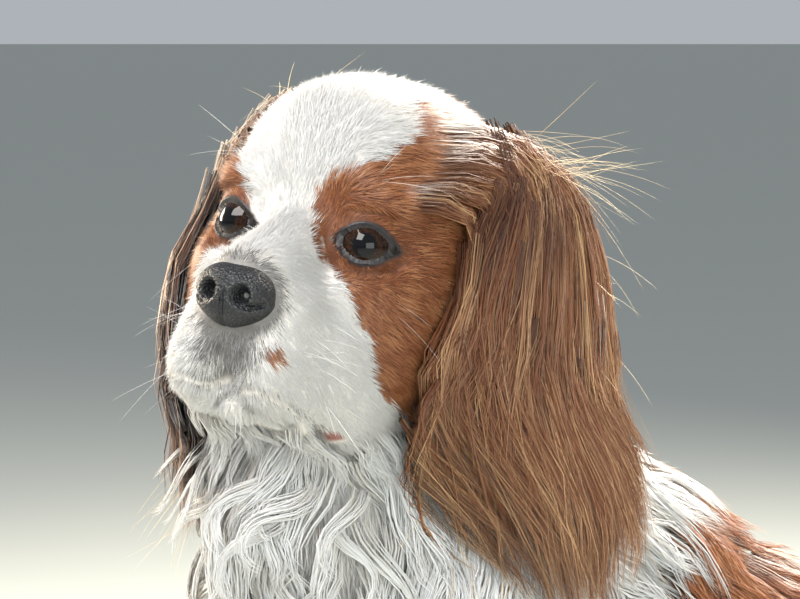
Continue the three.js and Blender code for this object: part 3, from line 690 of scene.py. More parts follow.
class Shader:
    """A material's node tree with its Principled shader."""

    def __init__(self, name: str) -> None:
        """Starts a material of this name."""
        self.material = bpy.data.materials.new(name)
        self.material.use_nodes = True
        self.tree = self.material.node_tree
        self.surface = next(n for n in self.tree.nodes if n.type == "BSDF_PRINCIPLED")

    def node(self, kind: str, settings: dict | None = None, inputs: dict | None = None) -> bpy.types.Node:
        """Adds a node.

        Args:
            kind: The node's type.
            settings: Properties, set first.
            inputs: Socket name or number to a number, colour, Value or socket.

        Returns:
            The node.
        """
        made = self.tree.nodes.new(kind)
        for key, value in (settings or {}).items():
            setattr(made, key, value)
        self.fill(made, inputs or {})
        return made

    def fill(self, node: bpy.types.Node, inputs: dict) -> None:
        """Sets or links a node's sockets."""
        for key, value in inputs.items():
            socket = node.inputs[key]
            if isinstance(value, Value):
                self.tree.links.new(value.socket, socket)
            elif isinstance(value, bpy.types.NodeSocket):
                self.tree.links.new(value, socket)
            elif isinstance(value, tuple) and socket.type == "RGBA":
                socket.default_value = (*value[:3], 1.0)
            else:
                socket.default_value = value

    def coordinates(self) -> bpy.types.NodeSocket:
        """Object coordinates, in metres."""
        return self.node("ShaderNodeTexCoord").outputs["Object"]

    def vectors(self, operation: str, inputs: dict) -> bpy.types.bpy_prop_collection:
        """Outputs of one Vector Math node."""
        return self.node("ShaderNodeVectorMath", {"operation": operation}, inputs).outputs

    def noise(self, scale: float, detail: float = 3.0) -> Value:
        """Noise value between about 0 and 1."""
        inputs = {"Vector": self.coordinates(), "Scale": scale, "Detail": detail}
        return Value(self, self.node("ShaderNodeTexNoise", {}, inputs).outputs["Fac"])

    def attribute(self, name: str) -> tuple[Value, Value, Value]:
        """The three channels of a colour attribute."""
        colour = self.node("ShaderNodeAttribute", {"attribute_name": name}).outputs["Color"]
        parts = self.node("ShaderNodeSeparateColor", {}, {"Color": colour}).outputs
        return Value(self, parts[0]), Value(self, parts[1]), Value(self, parts[2])

    def mix(self, share: Value | float, a: object, b: object) -> bpy.types.NodeSocket:
        """A colour between two colours."""
        made = self.node("ShaderNodeMix", {"data_type": "RGBA"})
        for name, value in (("Factor", share), ("A", a), ("B", b)):
            socket = next(s for s in made.inputs if s.name == name and (s.type == "RGBA" or name == "Factor"))
            if isinstance(value, Value):
                self.tree.links.new(value.socket, socket)
            elif isinstance(value, bpy.types.NodeSocket):
                self.tree.links.new(value, socket)
            else:
                socket.default_value = value if name == "Factor" else (*value, 1.0)
        return next(s for s in made.outputs if s.type == "RGBA")

    def bump(self, height: Value, strength: float, distance: float) -> bpy.types.NodeSocket:
        """Bump from a height, its distance in metres."""
        inputs = {"Height": height, "Strength": strength, "Distance": distance}
        return self.node("ShaderNodeBump", {}, inputs).outputs["Normal"]

    def surface_is(self, **inputs: object) -> bpy.types.Material:
        """Fills the Principled shader, with underscores for spaces in the names of its sockets."""
        self.fill(self.surface, {key.replace("_", " "): value for key, value in inputs.items()})
        return self.material


@dataclass(frozen=True)
class CoatFinish:
    """Hair of one colour. Its attribute holds each hair's tone, the place along it, and its darkening from
    dark hair and from painted shade in the mouth groove.

    Attributes:
        name: Material name.
        root: Colour at the roots.
        middle: Colour of most of the hair.
        light: Colour of the lightest hairs and sunlit tips.
        rough: Roughness.
        sheen: Strength of the soft edge light.
        glow: How much light passes through the hair.
    """

    name: str
    root: Colour
    middle: Colour
    light: Colour
    rough: float = 0.5
    sheen: float = 0.15
    glow: float = 0.2

    def make(self) -> bpy.types.Material:
        """Builds the material."""
        shader = Shader(self.name)
        tone, along, soot = shader.attribute("coat")
        body = shader.mix(along.ramp(0.0, 0.45), self.root, self.middle)
        patchy = shader.noise(60.0, 2.0)
        lightness = (tone * 0.75 + along * 0.35 + (patchy - 0.5) * 0.35).ramp(0.35, 1.05)
        body = shader.mix(lightness, body, self.light)
        # Dark hairs, and painted shade on the hairs along the mouth groove.
        body = shader.mix(soot, body, DARK_HAIR_AND_SHADE_COLOUR)
        return shader.surface_is(
            Base_Color=body,
            Roughness=self.rough,
            Specular_IOR_Level=0.4,
            Sheen_Weight=self.sheen,
            Sheen_Roughness=0.4,
            Subsurface_Weight=self.glow,
            Subsurface_Radius=(0.004, 0.003, 0.002),
            Subsurface_Scale=0.5,
        )


@dataclass(frozen=True)
class SkinFinish:
    """Skin under the coat, coloured as the coat over it, with fine strands in its bump."""

    name: str = "skin_under_coat"
    white: Colour = (0.80, 0.75, 0.70)
    chestnut: Colour = (0.13, 0.042, 0.016)
    # Near-black of bare skin, also used as painted shade along the mouth groove.
    dark_skin_and_shade: Colour = (0.02, 0.017, 0.018)
    lip: Colour = (0.30, 0.11, 0.09)

    def make(self) -> bpy.types.Material:
        """Builds the material."""
        shader = Shader(self.name)
        mark, dark_skin_and_shade, lip = shader.attribute("coat")
        strands = shader.noise(700.0, 2.0)
        colour = shader.mix(mark, self.white, self.chestnut)
        colour = shader.mix((strands - 0.5) * 0.5, colour, (0.05, 0.03, 0.02))
        # Bare dark skin, and painted shade along the mouth groove.
        colour = shader.mix(dark_skin_and_shade, colour, self.dark_skin_and_shade)
        colour = shader.mix(lip, colour, self.lip)
        return shader.surface_is(
            Base_Color=colour,
            Roughness=(dark_skin_and_shade + lip) * -0.3 + 0.75,
            Normal=shader.bump(strands, 0.4, 0.0006),
        )


@dataclass(frozen=True)
class NoseFinish:
    """Moist black leather of small pebbles."""

    name: str = "nose_leather"

    def make(self) -> bpy.types.Material:
        """Builds the material."""
        shader = Shader(self.name)
        inputs = {"Vector": shader.coordinates(), "Scale": 900.0, "Randomness": 0.9}
        pebbles = shader.node("ShaderNodeTexVoronoi", {"feature": "F1"}, inputs)
        cells = Value(shader, pebbles.outputs["Distance"])
        fine = shader.noise(2500.0, 2.0)
        wet = shader.noise(160.0, 2.0)
        colour = shader.mix(cells.ramp(0.1, 0.6), (0.016, 0.017, 0.022), (0.005, 0.005, 0.007))
        return shader.surface_is(
            Base_Color=colour,
            Roughness=wet.ramp(0.3, 0.7, 0.3, 0.5),
            Specular_IOR_Level=0.6,
            Normal=shader.bump(cells * -1.0 + fine * 0.3, 0.75, 0.0006),
        )


@dataclass(frozen=True)
class EyeFinish:
    """A dark brown eye seen through its wet cornea."""

    name: str
    centre: Point
    gaze: Point

    def make(self) -> bpy.types.Material:
        """Builds the material, with the pupil and iris placed by the angle from the gaze."""
        shader = Shader(self.name)
        away = shader.vectors("SUBTRACT", {0: shader.coordinates(), 1: self.centre})["Vector"]
        ahead = Value(shader, shader.vectors("DOT_PRODUCT", {0: away, 1: self.gaze})["Value"])
        cosine = ahead / Value(shader, shader.vectors("LENGTH", {0: away})["Value"])
        streaks = shader.noise(900.0, 3.0)
        iris = shader.mix(streaks.ramp(0.35, 0.7), (0.010, 0.0035, 0.0015), (0.035, 0.013, 0.005))
        edge = cosine.ramp(0.66, 0.74)
        colour = shader.mix(edge, (0.06, 0.045, 0.04), iris)
        ring = cosine.ramp(0.70, 0.76, 1.0, 0.0) * cosine.ramp(0.64, 0.69)
        colour = shader.mix(ring, colour, (0.006, 0.004, 0.003))
        colour = shader.mix(cosine.ramp(0.905, 0.93), colour, (0.003, 0.003, 0.004))
        return shader.surface_is(
            Base_Color=colour,
            Roughness=0.5,
            Specular_IOR_Level=0.0,
            Coat_Weight=1.0,
            Coat_Roughness=0.02,
            Coat_IOR=1.38,
        )


@dataclass(frozen=True)
class PlainFinish:
    """A small part's finish: one colour with fine mottling."""

    name: str
    dark: Colour
    light: Colour
    rough: float

    def make(self) -> bpy.types.Material:
        """Builds the material."""
        shader = Shader(self.name)
        mottle = shader.noise(900.0, 3.0)
        return shader.surface_is(
            Base_Color=shader.mix(mottle.ramp(0.3, 0.7), self.dark, self.light),
            Roughness=self.rough,
            Normal=shader.bump(mottle, 0.35, 0.0003),
        )


WHITE_HAIR = CoatFinish(
    "white_hair", (0.78, 0.72, 0.66), (0.88, 0.85, 0.81), (0.96, 0.94, 0.92),
    rough=0.5, sheen=0.2, glow=0.3,
)
CHESTNUT_HAIR = CoatFinish(
    "chestnut_hair", (0.085, 0.024, 0.009), (0.24, 0.07, 0.022), (0.52, 0.23, 0.10),
    rough=0.42, sheen=0.1, glow=0.0,
)
EAR_HAIR = CoatFinish(
    "ear_hair", (0.085, 0.026, 0.011), (0.225, 0.078, 0.032), (0.62, 0.37, 0.19),
    rough=0.36, sheen=0.2, glow=0.0,
)
BLOND_HAIR = CoatFinish(
    "blond_hair", (0.40, 0.19, 0.07), (0.66, 0.42, 0.18), (0.90, 0.72, 0.42),
    rough=0.4, sheen=0.3, glow=0.0,
)
DARK_LEATHER = PlainFinish("lid_leather", (0.005, 0.004, 0.005), (0.012, 0.010, 0.010), 0.42)
HORN = PlainFinish("claw_horn", (0.04, 0.03, 0.028), (0.16, 0.12, 0.1), 0.3)


# Meshes


def mesh_of(name: str, made: bmesh.types.BMesh) -> bpy.types.Mesh:
    """A mesh from a bmesh, which is freed."""
    mesh = bpy.data.meshes.new(name)
    made.to_mesh(mesh)
    made.free()
    return mesh


def places_of(made: bmesh.types.BMesh) -> Array:
    """Places of a bmesh's corners."""
    return np.array([v.co for v in made.verts])


class Part:
    """Where the dog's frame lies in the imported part, and how pieces are put there."""

    def __init__(self, anatomy: Anatomy) -> None:
        """Finds the part's shift."""
        self.shift = anatomy.shift

    def metres(self, p: Array) -> Array:
        """Places in the part's frame, in metres."""
        return (p + self.shift) / MILLIMETRES

    def within(self, paths: Array) -> Array:
        """Shortens the hairs that would pass the size that the coat may have."""
        low, high = (np.array(corner) for corner in CAD_BOX)
        room = COAT_SHARE * (high - low) + COAT_ROOM
        placed = self.metres(paths)
        root = placed[:, :1]
        above = (placed - root) / np.maximum(high + room - root, 1e-4)
        below = (root - placed) / np.maximum(root - low + room, 1e-4)
        share = 1.0 / np.maximum(np.maximum(above, below).max((1, 2)), 1.0)
        return paths[:, :1] + (paths - paths[:, :1]) * share[:, None, None]

    def add(
        self,
        name: str,
        mesh: bpy.types.Mesh,
        material: bpy.types.Material,
        slot: Slot,
        replaced: Sequence[str] = (),
    ) -> bpy.types.Object:
        """Shows a mesh that is already in the part's frame.

        Args:
            name: The piece's name.
            mesh: Its mesh, in metres.
            material: Its material.
            slot: The record's slot for its finish; not used.
            replaced: CAD nodes that it stands for.

        Returns:
            The piece.
        """
        piece = bpy.data.objects.new(name, mesh)
        mesh.materials.clear()
        mesh.materials.append(material)
        bpy.context.scene.collection.objects.link(piece)
        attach(piece, ROOT)
        if replaced:
            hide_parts(*replaced)
        log.info("%s: %d faces", name, len(mesh.polygons))
        return piece

    def from_bmesh(self, name: str, made: bmesh.types.BMesh, placed: Array) -> bpy.types.Mesh:
        """A smooth mesh in metres from a bmesh and the places of its corners in the dog's millimetres."""
        for vert, at in zip(made.verts, self.metres(placed)):
            vert.co = Vector(at)
        bmesh.ops.recalc_face_normals(made, faces=made.faces)
        mesh = mesh_of(name, made)
        mesh.shade_smooth()
        return mesh


def set_colours(mesh: bpy.types.Mesh, channels: Array) -> None:
    """Writes three channels a vertex as the attribute that the finishes read."""
    layer = mesh.color_attributes.new(name="coat", type="FLOAT_COLOR", domain="POINT")
    full = np.concatenate([channels, np.ones((len(channels), 1))], axis=1)
    layer.data.foreach_set("color", full.astype(np.float32).ravel())


@dataclass
class Hairs:
    """Closed thin tapered hairs or tufts, many in one mesh.

    Attributes:
        paths: Ring centres of each, the tip last, in the dog's millimetres.
        widths: Full width of each at its widest.
        normals: Outward direction of each at each ring.
        tone: Lightness of each between 0 and 1.
        soot: Darkness of each between 0 and 1, from dark hair and from painted shade in the mouth groove.
        flat: Thickness as a share of the width.
        soft: How far the shading follows the coat's surface, from 0 to 1.
    """

    paths: Array
    widths: Array
    normals: Array
    tone: Array
    soot: Array
    flat: float = 0.45
    soft: float = 0.62

    def __len__(self) -> int:
        """Number of hairs."""
        return len(self.paths)

    def chosen(self, mask: Array) -> "Hairs":
        """Only some of the hairs."""
        return Hairs(
            self.paths[mask],
            self.widths[mask],
            self.normals[mask],
            self.tone[mask],
            self.soot[mask],
            self.flat,
            self.soft,
        )

    def corners(self) -> Array:
        """Corners of every hair: three a ring and one at the tip."""
        count, rings = self.paths.shape[:2]
        tangent = unit(np.gradient(self.paths, axis=1))
        side = unit(np.cross(self.normals, tangent))
        up = np.cross(tangent, side)
        along = np.linspace(0, 1, rings)[:-1]
        taper = (0.55 + 0.45 * step(0.0, 0.3, along)) * (1 - 0.72 * along**1.6) if rings > 2 else np.ones(1)
        half = 0.5 * self.widths[:, None, None, None] * taper[None, :, None, None]
        turn = np.radians([90.0, 210.0, 330.0])
        ring = self.paths[:, :-1, None, :] + half * (
            np.cos(turn)[None, None, :, None] * side[:, :-1, None, :]
            + self.flat * np.sin(turn)[None, None, :, None] * up[:, :-1, None, :]
        )
        return np.concatenate([ring.reshape(count, -1, 3), self.paths[:, -1:, :]], axis=1)

    def outward(self, corners: Array) -> Array:
        """Direction out of each hair at its corners."""
        rings = self.paths.shape[1]
        centres = np.repeat(self.paths[:, :-1], 3, axis=1)
        out = unit(corners[:, :-1] - centres)
        return np.concatenate([out, self.normals[:, rings - 1 :]], axis=1)

    def repeated_normals(self) -> Array:
        """The coat's outward direction at each corner."""
        return np.concatenate([np.repeat(self.normals[:, :-1], 3, axis=1), self.normals[:, -1:]], axis=1)

    def mesh(self, name: str, part: Part, unwrap: "Unwrap") -> bpy.types.Mesh:
        """Builds the mesh with its colours and its patch of the skin's unwrap for each hair."""
        count, rings = self.paths.shape[:2]
        corners = self.corners()
        each = corners.shape[1]
        loops = [0, 2, 1]
        totals = [3]
        for r in range(rings - 2):
            for j in range(3):
                a, b = 3 * r + j, 3 * r + (j + 1) % 3
                loops += [a, b, b + 3, a + 3]
                totals.append(4)
        last = 3 * (rings - 2)
        for j in range(3):
            loops += [last + j, last + (j + 1) % 3, each - 1]
            totals.append(3)
        all_loops = (np.array(loops)[None, :] + each * np.arange(count)[:, None]).ravel()
        all_totals = np.tile(totals, count)
        starts = np.concatenate([[0], np.cumsum(all_totals)[:-1]])
        mesh = bpy.data.meshes.new(name)
        points = part.metres(corners.reshape(-1, 3))
        points[:, 2] = np.maximum(points[:, 2], FLOOR_CLEAR)
        mesh.vertices.add(len(points))
        mesh.vertices.foreach_set("co", points.astype(np.float32).ravel())
        mesh.loops.add(len(all_loops))
        mesh.loops.foreach_set("vertex_index", all_loops.astype(np.int32))
        mesh.polygons.add(len(all_totals))
        mesh.polygons.foreach_set("loop_start", starts.astype(np.int32))
        mesh.update(calc_edges=True)
        mesh.shade_smooth()
        facing = unit((1 - self.soft) * self.outward(corners) + self.soft * self.repeated_normals())
        mesh.normals_split_custom_set_from_vertices(facing.reshape(-1, 3).tolist())
        along = np.append(np.repeat(np.linspace(0, 1, rings)[:-1], 3), 1.0)
        across = np.append(np.tile([0.5, 0.0, 1.0], rings - 1), 0.5)
        channels = np.stack(
            [
                np.repeat(self.tone[:, None], each, axis=1),
                np.repeat(along[None, :], count, axis=0),
                np.repeat(self.soot[:, None], each, axis=1),
            ],
            axis=2,
        )
        set_colours(mesh, channels.reshape(-1, 3))
        spots = unwrap.at(self.paths[:, 0])
        patch = np.stack([across - 0.5, along - 0.5], axis=1) * PATCH
        uv = (spots[:, None, :] + patch[None, :, :]).reshape(-1, 2)
        layer = mesh.uv_layers.new(name=BAKE_MAP)
        layer.uv.foreach_set("vector", uv[all_loops].astype(np.float32).ravel())
        return mesh


class Unwrap:
    """The skin's unwrap, read at the skin's nearest corner."""

    def __init__(self, places: Array, spots: Array) -> None:
        """Keeps each corner of the skin and its spot on the unwrap."""
        self.tree = KDTree(len(places))
        for i, place in enumerate(places):
            self.tree.insert(place, i)
        self.tree.balance()
        self.spots = spots

    def at(self, places: Array) -> Array:
        """Spots of the corners nearest to these places."""
        nearest = [self.tree.find(place)[1] for place in places]
        return self.spots[nearest]


@dataclass
class Skin:
    """The dog's skin: one closed surface that follows the anatomy inside the depth of the coat.

    Attributes:
        anatomy: The flesh.
        markings: The coat's colours.
        part: The part's frame.
        voxel: Grid step in millimetres.
    """

    anatomy: Anatomy
    markings: Markings
    part: Part
    voxel: float = 2.3
    points: Array = field(init=False)
    normals: Array = field(init=False)
    triangles: Array = field(init=False)
    unwrap: Unwrap = field(init=False)

    def depth(self, p: Array) -> Array:
        """How far the skin lies inside the coat's surface."""
        q = self.anatomy.to_head(p)
        head = (0.7 + 2.0 * step(-40, 25, q[:, 1])) * step(1.0, 9.0, self.anatomy.off_lids(p))
        head = head + 4.2 * step(0.4, -2.0, self.anatomy.over_lip(q)) * self.anatomy.mouth(q)
        z = p[:, 2]
        body = 1.2 + 2.6 * step(20, 110, z) + 1.6 * step(180, 250, z)
        share = self.anatomy.headness(p)
        return head * share + body * (1 - share)

    def rough_form(self) -> bpy.types.Mesh:
        """The anatomy's balls and limbs as one closed surface of even faces."""
        made = bmesh.new()
        for forms, place in (
            (HEAD_FORMS + JAW_FORMS, self.anatomy.head_matrix),
            (TRUNK_FORMS + LIMB_FORMS + TOE_FORMS, Matrix.Identity(4)),
        ):
            for form in forms:
                form.add_to(made, place)
        rough = bpy.data.objects.new("rough_form", mesh_of("rough_form", made))
        bpy.context.scene.collection.objects.link(rough)
        remesh = rough.modifiers.new("even", "REMESH")
        remesh.mode = "VOXEL"
        remesh.voxel_size = self.voxel
        graph = bpy.context.evaluated_depsgraph_get()
        even = bpy.data.meshes.new_from_object(rough.evaluated_get(graph))
        bpy.data.objects.remove(rough)
        self.refine(even)
        return even

    def refine(self, mesh: bpy.types.Mesh) -> None:
        """Splits the faces finer round the eyes and over the muzzle."""
        made = bmesh.new()
        made.from_mesh(mesh)
        spots = [(Vector(self.anatomy.eye_frame(side)[0]), 23.0, 2) for side in (1, -1)]
        muzzle = self.anatomy.from_head(np.array([[0.0, -78.0, -42.0]]))[0]
        spots.append((Vector(muzzle), 36.0, 1))
        for centre, radius, cuts in spots:
            edges = [e for e in made.edges if all((v.co - centre).length < radius for v in e.verts)]
            bmesh.ops.subdivide_edges(made, edges=edges, cuts=cuts, use_grid_fill=True)
        made.to_mesh(mesh)
        made.free()

    def shaped(self, mesh: bpy.types.Mesh) -> None:
        """Moves the corners onto the flesh, evening them out on the way."""
        count = len(mesh.vertices)
        p = np.zeros(count * 3)
        mesh.vertices.foreach_get("co", p)
        p = p.reshape(-1, 3)
        edges = np.zeros(len(mesh.edges) * 2, int)
        mesh.edges.foreach_get("vertices", edges)
        a, b = edges.reshape(-1, 2).T
        degree = np.maximum(np.bincount(a, minlength=count) + np.bincount(b, minlength=count), 1)
        for _ in range(3):
            p, _ = self.anatomy.settle(p, -self.depth(p), 1, self.anatomy.lidded)
            pulls = [np.bincount(a, p[b, k], count) + np.bincount(b, p[a, k], count) for k in range(3)]
            pull = np.stack(pulls, axis=1)
            p = 0.5 * p + 0.5 * pull / degree[:, None]
        self.points, self.normals = self.anatomy.settle(p, -self.depth(p), 3, self.anatomy.lidded)
        self.points[:, 2] = np.maximum(self.points[:, 2], 0.0)

    def unwrapped(self, piece: bpy.types.Object) -> None:
        """Unwraps the skin and keeps the spot of each corner."""
        mesh = piece.data
        bpy.context.view_layer.objects.active = piece
        piece.select_set(True)
        bpy.ops.object.mode_set(mode="EDIT")
        bpy.ops.mesh.select_all(action="SELECT")
        bpy.ops.uv.smart_project(angle_limit=math.radians(66), island_margin=0.002)
        bpy.ops.object.mode_set(mode="OBJECT")
        piece.select_set(False)
        mesh.uv_layers.active.name = BAKE_MAP
        uv = np.zeros(len(mesh.loops) * 2)
        mesh.uv_layers.active.uv.foreach_get("vector", uv)
        corners = np.zeros(len(mesh.loops), int)
        mesh.loops.foreach_get("vertex_index", corners)
        spots = np.zeros((len(mesh.vertices), 2))
        spots[corners] = uv.reshape(-1, 2)
        self.unwrap = Unwrap(self.points, spots)

    def build(self, replaced: Sequence[str]) -> bpy.types.Object:
        """Makes the skin's piece."""
        mesh = self.rough_form()
        self.shaped(mesh)
        mesh.vertices.foreach_set("co", self.part.metres(self.points).astype(np.float32).ravel())
        mesh.name = "skin"
        mesh.update()
        mesh.shade_smooth()
        mesh.calc_loop_triangles()
        triangles = np.zeros(len(mesh.loop_triangles) * 3, int)
        mesh.loop_triangles.foreach_get("vertices", triangles)
        self.triangles = triangles.reshape(-1, 3)
        marks = self.markings.chestnut(self.points)
        corner = step(1.1, 0.7, self.anatomy.off_corner(self.anatomy.to_head(self.points)))
        # Dark skin under the coat: the bare black lid edges and skin under the dark nose hair, with painted
        # shade along the mouth groove.
        dark_skin_and_shade = np.maximum(self.markings.soot(self.points) * 0.8, self.markings.eye_line(self.points))
        set_colours(mesh, np.stack([marks, dark_skin_and_shade, corner], axis=1))
        piece = self.part.add("skin", mesh, SkinFinish().make(), Slot.WHITE, replaced)
        mesh.uv_layers.new(name=BAKE_MAP)
        self.unwrapped(piece)
        return piece

    def scatter(self, density: Callable[[Array], Array], seed: int) -> tuple[Array, Array]:
        """Random places on the skin.

        Args:
            density: Tufts for each square millimetre at a place.
            seed: Seed of the draw.

        Returns:
            Places and outward directions.
        """
        rng = np.random.default_rng(seed)
        corners = self.points[self.triangles]
        sides = corners[:, 1:] - corners[:, :1]
        area = 0.5 * np.linalg.norm(np.cross(sides[:, 0], sides[:, 1]), axis=1)
        wanted = area * np.maximum(density(corners.mean(1)), 0)
        total = int(wanted.sum()) // 1
        pick = np.searchsorted(np.cumsum(wanted) / wanted.sum(), rng.random(total))
        pick = np.minimum(pick, len(wanted) - 1)
        u, v = rng.random(total), rng.random(total)
        over = u + v > 1
        u[over], v[over] = 1 - u[over], 1 - v[over]
        w = np.stack([1 - u - v, u, v], axis=1)[:, :, None]
        places = (corners[pick] * w).sum(1)
        outward = unit((self.normals[self.triangles[pick]] * w).sum(1))
        return places, outward


@dataclass(frozen=True)
class Coat:
    """Makes pieces of hair.

    Attributes:
        part: The part's frame.
        skin: What the hair grows from.
        white: Material of white hair.
        chestnut: Material of chestnut hair.
        ear: Material of the ears' hair.
        blond: Material of loose fair hairs.
    """

    part: Part
    skin: Skin
    white: bpy.types.Material
    chestnut: bpy.types.Material
    ear: bpy.types.Material
    blond: bpy.types.Material

    def grow(
        self, name: str, hairs: Hairs, material: bpy.types.Material | None = None, slot: Slot = Slot.WHITE
    ) -> None:
        """Adds hairs, white unless told, as one piece or as several where one would be too large."""
        hairs.paths = self.part.within(hairs.paths)
        each = 4 + 6 * (hairs.paths.shape[1] - 2)
        parts = max(1, math.ceil(len(hairs) * each / MOST_TRIANGLES))
        for i in range(parts):
            piece = name if parts == 1 else f"{name}_{i + 1}"
            some = hairs.chosen(np.arange(len(hairs)) % parts == i)
            mesh = some.mesh(piece, self.part, self.skin.unwrap)
            self.part.add(piece, mesh, material or self.white, slot)

    def grow_both(
        self, name: str, hairs: Hairs, brown: Array, material: bpy.types.Material | None = None
    ) -> None:
        """Adds the white hairs and the brown ones, chestnut unless told, as two pieces."""
        if not brown.all():
            self.grow(f"{name}_white", hairs.chosen(~brown))
        if brown.any():
            chosen = hairs.chosen(brown)
            self.grow(f"{name}_chestnut", chosen, material or self.chestnut, Slot.CHESTNUT)


class Area(Enum):
    """Areas of short coat, each a piece or two."""

    MUZZLE = "muzzle"
    FACE = "face"
    SKULL = "skull"
    NECK = "neck"
    TRUNK = "trunk"
    LIMBS = "limbs"


@dataclass(frozen=True)
class Fur:
    """The short fur of one area.

    Attributes:
        area: Where.
        density: Tufts for each square millimetre.
        length: Middle length.
        width: Middle width.
        rise: Angle over the skin, in degrees.
        seed: Seed of the draw.
    """

    area: Area
    density: float
    length: float
    width: float
    rise: float
    seed: int


FURS = (
    Fur(Area.MUZZLE, 2.8, 4.8, 0.4, 20, 11),
    Fur(Area.FACE, 2.6, 6.2, 0.43, 17, 21),
    Fur(Area.SKULL, 1.8, 11.0, 0.56, 13, 31),
    Fur(Area.NECK, 0.22, 18.0, 0.8, 16, 61),
    Fur(Area.TRUNK, 0.14, 24.0, 1.2, 16, 41),
    Fur(Area.LIMBS, 0.18, 11.0, 1.1, 16, 51),
)


@dataclass(frozen=True)
class ShortCoat:
    """Short fur that lies along the skin.

    Attributes:
        skin: What it grows from.
        comb: Which way it lies.
        coat: What makes its pieces.
    """

    skin: Skin
    comb: Comb
    coat: Coat

    def shares(self, p: Array) -> dict[Area, Array]:
        """How much each area holds each place."""
        anatomy = self.skin.anatomy
        q = anatomy.to_head(p)
        head = anatomy.headness(p)
        muzzle = head * step(-46, -54, q[:, 1]) * step(6, -6, q[:, 2])
        skull = head * step(-20, -6, q[:, 1]) * (1 - muzzle)
        face = head * (1 - muzzle) * (1 - step(-20, -6, q[:, 1]))
        low, high = step(120, 100, p[:, 2]), step(185, 205, p[:, 2])
        neck, limbs = (1 - head) * high, (1 - head) * low
        trunk = (1 - head) * (1 - low) * (1 - high)
        return dict(zip(Area, (muzzle, face, skull, neck, trunk, limbs)))

    def open_skin(self, p: Array) -> Array:
        """1 where fur may grow and 0 on the eyes and nose leather."""
        anatomy = self.skin.anatomy
        q = anatomy.to_head(p)
        nose = off_centre(q, anatomy.nose_at, np.array(anatomy.nose_size) + 0.3)
        line = step(1.1, 0.4, np.abs(anatomy.over_lip(q))) * step(30, 24, np.abs(q[:, 0]))
        lips = (1 - line * anatomy.mouth(q)) * step(0.75, 1.1, anatomy.off_corner(q))
        return step(0.5, 1.2, anatomy.off_lids(p)) * step(0.97, 1.02, nose) * lips

    def tufts(self, fur: Fur) -> tuple[Hairs, Array]:
        """Tufts of one area, and whether each is chestnut."""
        seed = fur.seed
        rng = np.random.default_rng(seed)

        def density(places: Array) -> Array:
            """Tufts for each square millimetre."""
            return fur.density * self.shares(places)[fur.area] * self.open_skin(places)

        p, n = self.skin.scatter(density, seed + 1)
        count = len(p)
        lie = self.comb.lie(p, n)
        side = np.cross(n, lie)
        swing = 0.16 * wobble(p, 18, seed + 2) + 0.12 * wobble(p, 6, seed + 3)
        lie = unit(lie + side * (swing + 0.10 * rng.normal(size=count))[:, None])
        open_face = self.open_face(p)
        size = fur.length * (1 + 0.22 * rng.normal(size=count)).clip(0.5, 1.6) * (0.45 + 0.55 * open_face)
        angle = np.radians(fur.rise) * (1 + 0.25 * rng.normal(size=count)).clip(0.3, 1.8)
        root = p - ROOT_DEPTH * n
        tip = root + size[:, None] * (lie * np.cos(angle)[:, None] + n * np.sin(angle)[:, None])
        paths = np.stack([root, tip], axis=1)
        normals = np.repeat(n[:, None, :], 2, axis=1)
        markings = self.skin.markings
        is_brown = rng.random(count) < step(0.25, 0.75, markings.chestnut(p))
        tone = (0.5 + 0.22 * wobble(p, 9, seed + 4) + 0.2 * rng.normal(size=count)).clip(0, 1)
        # Dark hairs round the nose, and hairs darkened as painted shade along the mouth groove.
        soot = (rng.random(count) < markings.soot(p)) * rng.uniform(0.5, 1.0, count)
        widths = fur.width * (1 + 0.2 * rng.normal(size=count)).clip(0.5, 1.5) * (0.6 + 0.4 * open_face)
        return Hairs(paths, widths, normals, tone, soot), is_brown

    def open_face(self, p: Array) -> Array:
        """0 at the rims of the eyes and the nose leather, 1 some way off."""
        anatomy = self.skin.anatomy
        q = anatomy.to_head(p)
        nose = off_centre(q, anatomy.nose_at, (1.25, 0.9, 1.0))
        lip = 1 - 0.3 * step(4.0, 1.0, np.abs(anatomy.over_lip(q))) * anatomy.mouth(q)
        close = (0.2 + 0.8 * step(0, 12, anatomy.off_lids(p))) * step(6, 20, nose) * lip
        return np.where(anatomy.headness(p) > 0.5, close, 1.0)

    def build(self) -> None:
        """Makes the pieces of short coat."""
        for fur in FURS:
            self.coat.grow_both(f"{fur.area.value}_fur", *self.tufts(fur))


# Long hair


def scaled(count: int) -> int:
    return count


@dataclass(frozen=True)
class Strands:
    """How hairs fill a clump.

    Attributes:
        each: Hairs in a clump.
        width: Middle width of a hair.
        rings: Rings along each hair, its tip among them.
        gather: How far the hairs close up towards the tip, from 0 to 1.
        depth: Thickness of a clump as a share of its width.
        stray: How far hairs leave the clump, as a share of its length.
        tone: Middle and spread of the lightness.
        rounding: How far the shading curves round each clump.
    """

    each: int
    width: float
    rings: int
    gather: float
    depth: float
    stray: float
    tone: tuple[float, float]
    rounding: float


